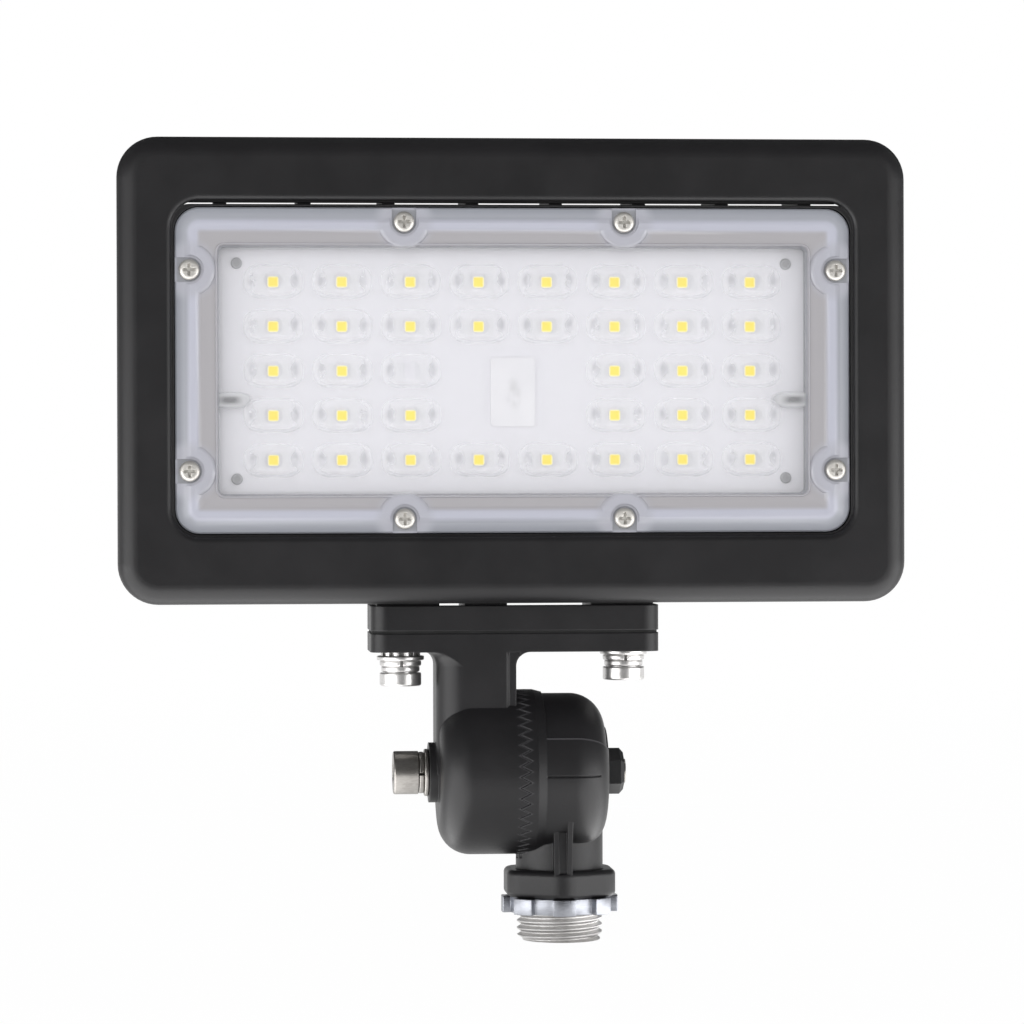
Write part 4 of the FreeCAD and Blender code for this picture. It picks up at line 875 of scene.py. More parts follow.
class Bench:
    """Hand tools that start a shape, pick its parts by place and finish it, in millimetres."""

    @staticmethod
    def only(*objects: bpy.types.Object) -> None:
        """Selects these objects alone, the first one active.

        Args:
            objects: what is selected.
        """
        if bpy.context.object and bpy.context.object.mode != "OBJECT":
            Bench.close()
        bpy.ops.object.select_all(action="DESELECT")
        for item in objects:
            item.select_set(True)
        if objects:
            bpy.context.view_layer.objects.active = objects[0]

    @staticmethod
    def start(name: str) -> bpy.types.Object:
        """Names the shape that was just added, settles it and opens it for editing.

        Args:
            name: the piece's name.

        Returns:
            The shape, in edit mode with everything selected.
        """
        shape = bpy.context.object
        shape.name = name
        shape.data.name = name
        Bench.only(shape)
        bpy.ops.object.transform_apply(location=True, rotation=True, scale=True)
        Bench.reopen()
        return shape

    @staticmethod
    def reopen() -> None:
        """Goes into edit mode with everything selected."""
        bpy.ops.object.mode_set(mode="EDIT")
        Bench.everything()

    @staticmethod
    def close() -> None:
        """Leaves edit mode."""
        bpy.ops.object.mode_set(mode="OBJECT")

    @staticmethod
    def bar(
        name: str,
        radius: float,
        middle: Point,
        length: float,
        sides: int = SIDES,
        turn: Point = FLAT,
    ) -> bpy.types.Object:
        """Adds a round bar and opens it for editing.

        Args:
            name: the bar's name.
            radius: its radius.
            middle: its centre.
            length: from end to end.
            sides: flats round it.
            turn: how it is turned from upright.

        Returns:
            The bar.
        """
        Bench.only()
        bpy.ops.mesh.primitive_cylinder_add(
            vertices=sides,
            radius=radius * MM,
            depth=length * MM,
            location=metres(middle),
            rotation=turn,
        )
        return Bench.start(name)

    @staticmethod
    def box(name: str, middle: Point, size: Point) -> bpy.types.Object:
        """Adds a box and opens it for editing.

        Args:
            name: the box's name.
            middle: its centre.
            size: its size along each axis.

        Returns:
            The box.
        """
        Bench.only()
        bpy.ops.mesh.primitive_cube_add(size=1, location=metres(middle))
        bpy.context.object.scale = metres(size)
        return Bench.start(name)

    @staticmethod
    @contextmanager
    def opened() -> Iterator[bmesh.types.BMesh]:
        """The mesh that is being edited, written back afterwards.

        Yields:
            The open mesh.
        """
        mesh = bpy.context.object.data
        shape = bmesh.from_edit_mesh(mesh)
        yield shape
        bmesh.update_edit_mesh(mesh)

    @staticmethod
    def everything() -> None:
        """Selects all of the shape that is being edited."""
        bpy.ops.mesh.select_all(action="SELECT")

    @staticmethod
    def nothing(kind: Pick) -> None:
        """Deselects all, to pick points, edges or faces next."""
        bpy.ops.mesh.select_mode(type=kind.value)
        bpy.ops.mesh.select_all(action="DESELECT")

    @staticmethod
    def faces(test: Callable[[Vector, Vector], bool]) -> None:
        """Selects the faces whose middle and normal pass the test.

        Args:
            test: takes the middle in millimetres and the normal.
        """
        Bench.nothing(Pick.FACES)
        with Bench.opened() as shape:
            for face in shape.faces:
                face.select_set(test(face.calc_center_median() / MM, face.normal))

    @staticmethod
    def front_faces() -> None:
        """Selects the faces that look to the front."""
        Bench.faces(lambda middle, normal: normal.y < -FACING)

    @staticmethod
    def edges(test: Callable[[Vector, Vector], bool]) -> None:
        """Selects the edges whose two ends pass the test.

        Args:
            test: takes both ends in millimetres.
        """
        Bench.nothing(Pick.EDGES)
        with Bench.opened() as shape:
            for edge in shape.edges:
                edge.select_set(test(edge.verts[0].co / MM, edge.verts[1].co / MM))

    @staticmethod
    def depth_edges() -> None:
        """Selects the edges that run from front to back."""
        Bench.edges(lambda a, b: abs(a.y - b.y) > NEAR)

    @staticmethod
    def points(test: Callable[[Vector], bool]) -> None:
        """Selects the points that pass the test.

        Args:
            test: takes the place in millimetres.
        """
        Bench.nothing(Pick.POINTS)
        with Bench.opened() as shape:
            for point in shape.verts:
                point.select_set(test(point.co / MM))
            shape.select_flush(True)

    @staticmethod
    def ring(width: float, rise: float) -> None:
        """Insets the selected faces by a width and lifts them."""
        bpy.ops.mesh.inset(thickness=width * MM, depth=rise * MM)

    @staticmethod
    def bevel(width: float, steps: int) -> None:
        """Rounds the selected edges."""
        bpy.ops.mesh.bevel(offset=width * MM, segments=steps, affect="EDGES")

    @staticmethod
    def push(shift: Point) -> None:
        """Extrudes the selection by a shift."""
        move = {"value": metres(shift), "use_proportional_edit": False}
        bpy.ops.mesh.extrude_region_move(TRANSFORM_OT_translate=move)

    @staticmethod
    def slide(shift: Point) -> None:
        """Moves the selection by a shift."""
        bpy.ops.transform.translate(value=metres(shift), use_proportional_edit=False)

    @staticmethod
    def scale(factor: Point, middle: Point) -> None:
        """Scales the selection about a point."""
        centre = metres(middle)
        bpy.ops.transform.resize(value=factor, center_override=centre, use_proportional_edit=False)

    @staticmethod
    def trim(place: Point, normal: Point, side: Side) -> None:
        """Cuts the selection at a plane, takes one side off and closes the cut.

        Args:
            place: a point of the plane.
            normal: the way that the plane looks.
            side: the side that goes.
        """
        bpy.ops.mesh.bisect(
            plane_co=metres(place),
            plane_no=normal,
            use_fill=True,
            threshold=FINE,
            **{side.value: True},
        )

    @staticmethod
    def turn_outwards() -> None:
        """Turns all the faces outwards."""
        Bench.everything()
        bpy.ops.mesh.normals_make_consistent(inside=False)

    @staticmethod
    def modify(shape: bpy.types.Object, kind: str, **settings: object) -> None:
        """Adds a modifier with these settings and applies it.

        Args:
            shape: the shape.
            kind: the modifier's type.
            settings: its properties.
        """
        Bench.only(shape)
        modifier = shape.modifiers.new(kind.lower(), kind)
        for key, value in settings.items():
            setattr(modifier, key, value)
        bpy.ops.object.modifier_apply(modifier=modifier.name)

    @staticmethod
    def combine(shape: bpy.types.Object, tool: bpy.types.Object, work: Work) -> None:
        """Joins a tool shape to a shape or cuts it away, and removes the tool.

        Args:
            shape: the shape that stays.
            tool: the shape that goes.
            work: what the tool does.
        """
        settings = {"operation": work.value, "object": tool, "solver": "EXACT"}
        Bench.modify(shape, "BOOLEAN", material_mode="TRANSFER", **settings)
        bpy.data.objects.remove(tool, do_unlink=True)

    @staticmethod
    def spread(shape: bpy.types.Object, shifts: Iterable[Point]) -> bpy.types.Object:
        """Copies a shape to several places and joins the copies.

        Args:
            shape: the shape, where shift nought is.
            shifts: the steps; the shape itself isn't kept.

        Returns:
            One object with all the copies.
        """
        copies = []
        for shift in shifts:
            Bench.only(shape)
            bpy.ops.object.duplicate(linked=False)
            Bench.slide(shift)
            copies.append(bpy.context.object)
        bpy.data.objects.remove(shape, do_unlink=True)
        return Bench.joined(copies)

    @staticmethod
    def joined(shapes: list[bpy.types.Object]) -> bpy.types.Object:
        """Joins shapes into the first one, with its place in its mesh.

        Args:
            shapes: the shapes.

        Returns:
            The first one, which holds them all.
        """
        Bench.only(*shapes)
        bpy.ops.object.join()
        bpy.ops.object.transform_apply(location=True, rotation=True, scale=True)
        return shapes[0]

    @staticmethod
    def smooth(shape: bpy.types.Object, degrees: float) -> None:
        """Smooth shading up to an angle."""
        Bench.only(shape)
        bpy.ops.object.shade_smooth_by_angle(angle=math.radians(degrees))

    @staticmethod
    def paint(shape: bpy.types.Object, *materials: bpy.types.Material) -> None:
        """Gives a shape its materials, in order.

        Args:
            shape: the shape.
            materials: its finishes.
        """
        shape.data.materials.clear()
        for material in materials:
            shape.data.materials.append(material)

    @staticmethod
    def hand_in(shape: bpy.types.Object, body: Body, slot: Slot, node: str) -> None:
        """Puts a finished piece on its body in place of a node, and reports it.

        Args:
            shape: the piece.
            body: what it moves with.
            slot: the record's finish; not used.
            node: the node that it stands for.
        """
        Bench.only(shape)
        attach(shape, body.value)
        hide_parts(node)
        log.info("%s rides on %s: %d faces", shape.name, body.value, len(shape.data.polygons))


@dataclass
class LensPlate:
    """Moulded plate with a raised border, screw bosses and oblong lenses, in millimetres."""

    grid: LensGrid
    width: float = 166.3
    height: float = 79.8
    corner: float = 6.0
    corner_steps: int = 10
    least_corner: float = 0.6
    front: float = -18.2
    seat: float = -16.2
    panel: float = -15.4
    back: float = -13.4
    edge: float = 0.4
    ridge_in: float = 3.0
    slope: float = 1.5
    ridge: float = 2.7
    rise: float = 0.9
    tub_w: float = 146.8
    tub_h: float = 62.5
    tub_r: float = 2.3
    bead: float = 0.5
    bead_w: float = 0.2
    wall: float = 1.1
    draft: float = 0.2
    boss_r: float = 6.7
    boss_round: float = 1.5
    boss_steps: int = 6
    boss_low: float = 0.05
    scallop_r: float = 3.6
    scallop_y: float = -17.7
    scallop_skin: float = 0.02
    notch_w: float = 6.0
    screw_x: float = 27.1
    screw_z: float = 24.6
    screw_in: float = 3.5
    hole_r: float = 1.6
    disc_sides: int = 48
    lens_w: float = 14.8
    lens_h: float = 8.8
    lens_t: float = 3.4
    lens_cut: float = 0.9
    lens_sides: int = 36
    square: float = 2.8
    dip: float = 0.7
    dip_half: float = 0.9
    dip_from: float = -2.0
    dip_reach: float = 3.2
    sunk: float = 0.4
    pad_w: float = 14.0
    pad_h: float = 21.4
    pad_z: float = -5.2
    pad_t: float = 0.7
    pad_r: float = 0.8
    pad_steps: int = 4
    pad_edge: float = 0.2
    pad_edge_steps: int = 2
    clear: float = 1.0
    smooth_to: float = 32.0

    @property
    def outline(self) -> Outline:
        """The plate's outline."""
        return self.width / 2, self.height / 2, self.corner

    @property
    def tub(self) -> Outline:
        """The outline of the tub inside the border."""
        return self.tub_w / 2, self.tub_h / 2, self.tub_r

    @property
    def screw_top(self) -> float:
        """Height of the upper screws over the head's centre."""
        return self.height / 2 - self.screw_in

    @property
    def screw_side(self) -> float:
        """Distance of the side screws from the head's centre."""
        return self.width / 2 - self.screw_in

    def build(self) -> bpy.types.Object:
        """Models the plate and hands it in.

        Returns:
            The finished plate.
        """
        plate = self.blank()
        screws = ((self.screw_x, self.screw_top), (self.screw_side, self.screw_z))
        Bench.paint(plate, LensPlastic(self.outline, self.tub, screws).make())
        Bench.combine(plate, self.bosses(), Work.JOIN)
        for tool in (self.scallops(), self.notches(), self.holes()):
            Bench.combine(plate, tool, Work.CUT)
        for tool in (self.pad(), self.lenses()):
            Bench.combine(plate, tool, Work.JOIN)
        Bench.smooth(plate, self.smooth_to)
        Bench.hand_in(plate, Body.HEAD, Slot.LENS, "lens_cover")
        return plate

    def blank(self) -> bpy.types.Object:
        """The plate without bosses and lenses.

        Returns:
            The plate.
        """
        Bench.only()
        lip = self.front + self.edge
        place = metres((HEAD_X, lip, HEAD_Z))
        bpy.ops.mesh.primitive_plane_add(size=1, location=place, rotation=UPRIGHT)
        bpy.context.object.scale = (self.width * MM, self.height * MM, 1)
        plate = Bench.start("lens_plate")
        bpy.ops.mesh.bevel(offset=self.corner * MM, segments=self.corner_steps, affect="VERTICES")
        Bench.faces(lambda middle, normal: True)
        outline, tub = self.outline, self.tub
        inner = self.ridge_in + self.ridge
        side = self.slope / 2
        steps = [
            (self.within(outline, self.edge), self.edge),
            (self.within(outline, self.ridge_in - side), 0.0),
            (self.within(outline, self.ridge_in + side), self.rise),
            (self.within(outline, inner - side), 0.0),
            (self.within(outline, inner + side), -self.rise),
            (tub, 0.0),
            (self.within(tub, self.bead_w), self.bead),
            (self.within(tub, self.bead_w * 2), 0.0),
            (self.within(tub, self.bead_w * 3), -self.bead),
            (self.within(tub, self.wall), self.front - self.panel),
        ]
        now = outline
        for target, rise in steps:
            now = self.ring_to(now, target, rise)
        # side wall and back, with the tub standing out behind
        Bench.edges(lambda a, b: abs(a.y - lip) < NEAR and abs(b.y - lip) < NEAR)
        self.keep_open_edges()
        Bench.push((0, self.seat - lip, 0))
        bpy.ops.mesh.edge_face_add()
        bpy.ops.mesh.select_mode(type=Pick.FACES.value)
        now = self.ring_to(outline, tub, 0.0)
        self.ring_to(now, self.within(tub, self.draft), self.back - self.seat)
        Bench.turn_outwards()
        Bench.close()
        return plate

    def within(self, outline: Outline, width: float) -> Outline:
        """The outline that lies this far inside another one."""
        half_w, half_h, corner = outline
        return half_w - width, half_h - width, max(corner - width, self.least_corner)

    @staticmethod
    def ring_to(now: Outline, target: Outline, rise: float) -> Outline:
        """Draws a new ring out of the selected face, down to a smaller outline.

        Args:
            now: the face's outline.
            target: the outline that it gets.
            rise: how far it is lifted.

        Returns:
            The target, as the next ring's start.
        """
        Bench.ring(NEAR, rise)
        half_w, half_h, corner = target
        with Bench.opened() as shape:
            for point in shape.verts:
                if not point.select:
                    continue
                across, up = point.co.x / MM - HEAD_X, point.co.z / MM - HEAD_Z
                turn = math.atan2(abs(up) - now[1] + now[2], abs(across) - now[0] + now[2])
                across = math.copysign(half_w - corner + corner * math.cos(turn), across)
                up = math.copysign(half_h - corner + corner * math.sin(turn), up)
                point.co.x, point.co.z = (HEAD_X + across) * MM, (HEAD_Z + up) * MM
        return target

    @staticmethod
    def keep_open_edges() -> None:
        """Keeps only the selected edges that have one face."""
        with Bench.opened() as shape:
            for edge in shape.edges:
                if edge.select and len(edge.link_faces) != 1:
                    edge.select_set(False)

    def screw_places(self) -> list[tuple[float, float, float, float]]:
        """Screw places from the head's centre, with the way inwards.

        Returns:
            Across, up, and the inward step across and up, for each screw.
        """
        found = []
        for sign in (-1, 1):
            for other in (-1, 1):
                found.append((self.screw_x * sign, self.screw_top * other, 0.0, -other))
                found.append((self.screw_side * sign, self.screw_z * other, -sign, 0.0))
        return found

    def disc(self, name: str, radius: float, near: float, far: float) -> bpy.types.Object:
        """A round bar along the depth at the head's centre, left in edit mode."""
        middle = (HEAD_X, (near + far) / 2, HEAD_Z)
        return Bench.bar(name, radius, middle, abs(far - near), self.disc_sides, UPRIGHT)

    def at_screws(self, name: str, radius: float, near: float, far: float) -> bpy.types.Object:
        """Such a bar at each screw, all in one shape.

        Args:
            name: the shape's name.
            radius: each bar's radius.
            near: its front end.
            far: its back end.

        Returns:
            The bars.
        """
        disc = self.disc(name, radius, near, far)
        Bench.close()
        return Bench.spread(disc, [(x, 0, z) for x, z, _, _ in self.screw_places()])

    def bosses(self) -> bpy.types.Object:
        """Half-round bosses at the screws, on the inner side of the border.

        Returns:
            The bosses, in one shape.
        """
        made = []
        near = self.front - self.rise + self.boss_low
        reach = self.ridge_in - self.screw_in
        for x, z, in_x, in_z in self.screw_places():
            boss = self.disc("boss", self.boss_r, near, self.seat - self.sunk)
            place = (HEAD_X + in_x * reach, 0, HEAD_Z + in_z * reach)
            Bench.trim(place, (in_x, 0, in_z), Side.BEHIND)
            Bench.front_faces()
            Bench.bevel(self.boss_round, self.boss_steps)
            Bench.everything()
            Bench.slide((x, 0, z))
            Bench.close()
            made.append(boss)
        return Bench.joined(made)

    def pad(self) -> bpy.types.Object:
        """The plain pad over the connector.

        Returns:
            The pad.
        """
        near = self.panel - self.pad_t
        far = self.panel + self.sunk
        middle = (HEAD_X, (near + far) / 2, HEAD_Z + self.pad_z)
        pad = Bench.box("pad", middle, (self.pad_w, far - near, self.pad_h))
        Bench.depth_edges()
        Bench.bevel(self.pad_r, self.pad_steps)
        Bench.front_faces()
        Bench.bevel(self.pad_edge, self.pad_edge_steps)
        Bench.close()
        return pad

    def lenses(self) -> bpy.types.Object:
        """Oblong lenses, each with a shallow dip across its middle.

        Returns:
            The lenses, in one shape.
        """
        Bench.only()
        bpy.ops.mesh.primitive_uv_sphere_add(
            segments=self.lens_sides, ring_count=self.lens_sides // 2, radius=1.0
        )
        wider = 1 / math.sqrt(1 - (self.lens_cut / self.lens_t) ** 2)
        half = metres((self.lens_w / 2 * wider, self.lens_t, self.lens_h / 2 * wider))
        bpy.context.object.scale = half
        lens = Bench.start("lens")
        self.square_off(half)
        Bench.everything()
        Bench.trim((0, -self.lens_cut, 0), (0, 1, 0), Side.AHEAD)
        Bench.points(lambda point: abs(point.x) < self.dip_half and point.y < self.dip_from)
        bpy.ops.transform.translate(
            value=metres((0, self.dip, 0)),
            use_proportional_edit=True,
            proportional_edit_falloff="SMOOTH",
            proportional_size=self.dip_reach * MM,
        )
        Bench.faces(lambda middle, normal: normal.y > FACING)
        Bench.push((0, self.sunk, 0))
        Bench.everything()
        Bench.slide((0, self.lens_cut, 0))
        Bench.close()
        optic = LensOptic(self.grid, (self.lens_w / 2, self.lens_h / 2), self.square)
        Bench.paint(lens, optic.make())
        return Bench.spread(lens, [(x, self.panel, z) for x, z in self.grid.places(False)])

    def square_off(self, half: Point) -> None:
        """Swells a lens towards its corners.

        Args:
            half: the lens's half sizes, in metres.
        """
        with Bench.opened() as shape:
            for point in shape.verts:
                across, up = abs(point.co.x / half[0]), abs(point.co.z / half[2])
                squared = (across**self.square + up**self.square) ** (1 / self.square)
                if squared > 0:
                    swell = math.hypot(across, up) / squared
                    point.co *= Vector((swell, 1, swell))

    def scallops(self) -> bpy.types.Object:
        """Round cuts in the border around the screws."""
        near = self.front - self.rise - self.clear
        return self.at_screws("scallop", self.scallop_r, near, self.front - self.scallop_skin)

    def notches(self) -> bpy.types.Object:
        """Sunk seats that run out to the plate's edge.

        Returns:
            The cutting shapes, in one.
        """
        made = []
        out = self.screw_in + self.clear
        for x, z, in_x, in_z in self.screw_places():
            seat = self.disc("notch", self.notch_w / 2, self.front - self.clear, self.scallop_y)
            Bench.points(
                lambda point: (point.x - HEAD_X) * in_x + (point.z - HEAD_Z) * in_z < -NEAR
            )
            Bench.scale((1 - abs(in_x), 1, 1 - abs(in_z)), (HEAD_X, 0, HEAD_Z))
            Bench.slide((-in_x * out, 0, -in_z * out))
            Bench.everything()
            Bench.slide((x, 0, z))
            Bench.close()
            made.append(seat)
        return Bench.joined(made)

    def holes(self) -> bpy.types.Object:
        """Clearance holes for the screws."""
        return self.at_screws("hole", self.hole_r, self.front - self.clear, self.seat + self.clear)


@dataclass
class Emitters:
    """Square emitters: a white package with a yellow window, in millimetres."""

    grid: LensGrid
    width: float = 3.0
    front: float = -12.8
    back: float = -12.1
    corner: float = 0.8
    corner_steps: int = 4
    lip: float = 0.05
    wall: float = 0.05
    sink: float = 0.06
    smooth_to: float = 30.0

    def build(self) -> bpy.types.Object:
        """Models one emitter, copies it and hands the set in.

        Returns:
            The set of emitters.
        """
        middle = (0, (self.front + self.back) / 2, 0)
        size = (self.width, self.back - self.front, self.width)
        emitter = Bench.box("emitters", middle, size)
        Bench.depth_edges()
        Bench.bevel(self.corner, self.corner_steps)
        Bench.front_faces()
        for width, rise in ((self.lip, 0.0), (self.wall, 0.0), (self.lip, -self.sink)):
            Bench.ring(width, rise)
        package = Moulded("emitter_package", (0.78, 0.78, 0.76), (0.84, 0.84, 0.82), 0.35)
        Bench.close()
        Bench.paint(emitter, package.make(), Phosphor(self.grid).make())
        bpy.ops.object.mode_set(mode="EDIT")
        # the window is still picked, so it alone takes the second finish
        emitter.active_material_index = 1
        bpy.ops.object.material_slot_assign()
        Bench.close()
        made = Bench.spread(emitter, [(x, 0, z) for x, z in self.grid.places(True)])
        made.name = "emitters"
        Bench.smooth(made, self.smooth_to)
        Bench.hand_in(made, Body.HEAD, Slot.EMITTER, "leds")
        return made


@dataclass
class Nipple:
    """Threaded nipple with a plain spigot above, in millimetres."""

    low: float = -7.0
    shoulder: float = 4.0
    top: float = 14.1
    crest_r: float = 10.67
    depth: float = 0.95
    pitch: float = 1.814
    land: float = 0.30
    spigot_r: float = 9.35
    bore_r: float = 7.9
    lead_in: float = 1.0
    taper: float = 0.955
    ledge: float = 0.2
    clear: float = 2.0
    spare_turns: int = 2
    smooth_to: float = 35.0

    def build(self) -> bpy.types.Object:
        """Models the thread and hands it in.

        Returns:
            The nipple.
        """
        Bench.only()
        start = self.low - self.spare_turns * self.pitch
        bpy.ops.mesh.primitive_plane_add(size=1, location=(0, 0, 0))
        nipple = Bench.start("thread_nipple")
        bpy.ops.mesh.delete(type="ONLY_FACE")
        self.profile(start)
        Bench.close()
        Bench.modify(
            nipple,
            "SCREW",
            angle=math.tau,
            screw_offset=self.pitch * MM,
            iterations=math.ceil((self.shoulder - start) / self.pitch) + 1,
            steps=SIDES,
            render_steps=SIDES,
            axis="Z",
            use_merge_vertices=True,
            merge_threshold=FINE,
        )
        self.finish_ends(nipple)
        Bench.combine(nipple, self.bore(), Work.CUT)
        Bench.smooth(nipple, self.smooth_to)
        bare = Steel("bare_nipple", (0.54, 0.53, 0.52), (0.70, 0.69, 0.68), 0.46, (1.0, 1.0, 5.0))
        Bench.paint(nipple, bare.make())
        Bench.hand_in(nipple, Body.BASE, Slot.NIPPLE, "nipple")
        return nipple

    def profile(self, start: float) -> None:
        """Puts one pitch of the thread's outline in the place of the plane's edges.

        Args:
            start: height of the first crest.
        """
        flank = (self.pitch - 2 * self.land) / 2
        root = self.crest_r - self.depth
        places = [
            (self.crest_r, 0, start),
            (self.crest_r, 0, start + self.land),
            (root, 0, start + self.land + flank),
            (root, 0, start + 2 * self.land + flank),
            (self.crest_r, 0, start + self.pitch),
        ]
        with Bench.opened() as shape:
            bmesh.ops.delete(shape, geom=list(shape.edges), context="EDGES")
            points = [shape.verts.new(Vector(place) * MM) for place in places]
            for first, second in zip(points, points[1:]):
                shape.edges.new((first, second))

    def finish_ends(self, nipple: bpy.types.Object) -> None:
        """Cuts the thread square, tapers its start and draws the spigot out of its top.

        Args:
            nipple: the thread.
        """
        Bench.only(nipple)
        Bench.reopen()
        bpy.ops.mesh.remove_doubles(threshold=FINE)
        Bench.turn_outwards()
        for height, sign in ((self.low, -1), (self.shoulder, 1)):
            Bench.everything()
            Bench.trim((0, 0, height), (0, 0, sign), Side.AHEAD)
        Bench.points(lambda point: point.z < self.low + self.lead_in)
        Bench.scale((self.taper, self.taper, 1), (0, 0, self.low))
        Bench.faces(lambda middle, normal: normal.z > FACING and middle.z > self.shoulder - NEAR)
        Bench.ring(self.ledge, 0.0)
        self.round_off()
        Bench.push((0, 0, self.top - self.shoulder))
        Bench.turn_outwards()
        Bench.close()

    def round_off(self) -> None:
        """Brings the selected end face's outline to the spigot's radius."""
        with Bench.opened() as shape:
            for point in shape.verts:
                if point.select:
                    flat = point.co.xy.normalized() * self.spigot_r * MM
                    point.co = (*flat, self.shoulder * MM)

    def bore(self) -> bpy.types.Object:
        """The wire way through the nipple, as a cutting bar.

        Returns:
            The bar.
        """
        middle = (0, 0, (self.top + self.low) / 2)
        bar = Bench.bar("bore", self.bore_r, middle, self.top - self.low + 2 * self.clear)
        Bench.close()
        return bar


@dataclass
class Locknut:
    """Ring nut with eight lugs, in millimetres."""

    low: float = 0.0
    high: float = 4.0
    ring_r: float = 12.7
    lug_r: float = 14.6
    lugs: int = 8
    lug_share: int = 4
    bore_r: float = 10.56
    edge: float = 0.35
    edge_steps: int = 3
    sharp: float = 40.0
    clear: float = 2.0
    smooth_to: float = 35.0

    def build(self) -> bpy.types.Object:
        """Models the nut and hands it in.

        Returns:
            The nut.
        """
        middle = (0, 0, (self.low + self.high) / 2)
        height = self.high - self.low
        nut = Bench.bar("lug_nut", self.ring_r, middle, height)
        Bench.faces(self.on_lug)
        Bench.push((0, 0, 0))
        out = self.lug_r / self.ring_r
        Bench.scale((out, out, 1), middle)
        Bench.close()
        bore = Bench.bar("bore", self.bore_r, middle, height + 2 * self.clear)
        Bench.close()
        Bench.combine(nut, bore, Work.CUT)
        Bench.modify(
            nut,
            "BEVEL",
            width=self.edge * MM,
            segments=self.edge_steps,
            limit_method="ANGLE",
            angle_limit=math.radians(self.sharp),
        )
        Bench.smooth(nut, self.smooth_to)
        zinc = Steel("bright_zinc", (0.28, 0.288, 0.317), (0.39, 0.402, 0.436), 0.36, grain=1.6)
        Bench.paint(nut, zinc.make())
        Bench.hand_in(nut, Body.LOCKNUT, Slot.ZINC, "locknut")
        return nut

    def on_lug(self, place: Vector, normal: Vector) -> bool:
        """True for the side faces that carry a lug.

        Args:
            place: the face's middle.
            normal: the way that it looks.

        Returns:
            Whether a lug stands on it.
        """
        turn = math.atan2(place.y, place.x) / math.tau * self.lugs
        share = self.lug_share * self.lugs / SIDES / 2
        return abs(normal.z) < FACING and abs(turn - round(turn)) < share


@dataclass
class Castings:
    """The solids that keep their own shape and get a finish."""

    grid: LensGrid

    def dress(self) -> None:
        """Gives each carried-over node its finish."""
        bright = Steel("bright_stainless", (0.58, 0.57, 0.56), (0.76, 0.75, 0.74), 0.32, metal=0.9)
        satin = Steel("satin_stainless", (0.54, 0.52, 0.49), (0.68, 0.66, 0.62), 0.48, metal=0.7)
        grey = Steel("grey_stainless", (0.27, 0.255, 0.24), (0.37, 0.355, 0.335), 0.36)
        oxide = Moulded(
            "black_oxide", (0.004, 0.004, 0.0045), (0.008, 0.008, 0.009), 0.42, skin=0.3, shine=0.3
        )
        dark = Moulded(
            "dull_screw", (0.27, 0.27, 0.275), (0.34, 0.34, 0.345), 0.45, skin=0.3, shine=0.5
        )
        rubber = Moulded("black_rubber", (0.010,) * 3, (0.018,) * 3, 0.70, skin=0.3, shine=0.25)
        white = TerminalNylon("white_nylon", (0.80, 0.79, 0.815), (0.845, 0.835, 0.855), 0.55)
        case = Moulded("driver_case", (0.10, 0.10, 0.105), (0.14, 0.14, 0.145), 0.50)
        groups = {
            PowderCoat(): ("housing", "rear_cover"),
            KnuckleCoat(): ("tilt_arm", "knuckle_base"),
            bright: (
                "flange_bolts",
                "flange_washers",
                "flange_spring_washers",
                "star_washer",
                "rear_screws",
                "driver_screws",
            ),
            satin: ("lens_screws",),
            grey: ("knuckle_bolt", "knuckle_spring_washer", "knuckle_washer"),
            oxide: ("knuckle_nut",),
            dark: ("board_screws",),
            rubber: (
                "lens_gasket",
                "rear_gasket",
                "foot_gasket",
                "knuckle_seal",
                "lead_grommet",
            ),
            white: ("board_terminal",),
            case: ("led_driver",),
            BoardMask(self.grid): ("led_board",),
        }
        for finish, names in groups.items():
            material = finish.make()
            for name in names:
                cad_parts[name].material_slots[0].material = material
                log.info("%s gets %s", name, material.name)


@dataclass(frozen=True)
class Card:
    """A board beside the object that only reflections see, in metres."""

    name: str
    place: Point
    turn: Point
    size: Pair
    tone: float


@dataclass(frozen=True)
class Lamp:
    """A soft box that faces the object, in metres and watts; gloss shows a mirrored one."""

    name: str
    place: Point
    size: Pair
    power: float
    mirrored: bool


CARDS = (
    Card("card_front", (0.05, -1.60, 0.62), UPRIGHT, (1.5, 1.30), 0.04),
    Card("card_front_floor", (0.05, -0.90, -0.0064), FLAT, (0.6, 1.40), 0.04),
    Card("card_top", (0.0, -0.40, 1.25), FLAT, (2.4, 2.40), 0.22),
    Card("card_back_top", (0.0, 0.80, 0.73), UPRIGHT, (2.6, 1.04), 0.16),
    Card("card_high_left", (-1.30, -0.30, 0.68), SIDEWAYS, (2.2, 1.10), 0.35),
    Card("card_high_right", (1.28, -0.30, 0.68), SIDEWAYS, (2.2, 1.10), 0.35),
    Card("card_near_left", (-0.24, -0.32, -0.0065), FLAT, (0.40, 0.70), 3.4),
    Card("card_far_left", (-0.79, -0.32, -0.0065), FLAT, (0.70, 0.70), 4.8),
    Card("card_near_right", (0.22, -0.32, -0.0065), FLAT, (0.40, 0.70), 3.4),
    Card("card_far_right", (0.77, -0.32, -0.0065), FLAT, (0.70, 0.70), 4.8),
)
LAMPS = (
    Lamp("left_box", (-0.80, -0.52, 0.045), (1.0, 0.10), 1.8, True),
    Lamp("right_box", (0.78, -0.54, 0.045), (1.0, 0.10), 1.8, True),
    Lamp("front_box", (-0.12, -1.25, 0.45), (0.8, 0.80), 6.0, False),
)


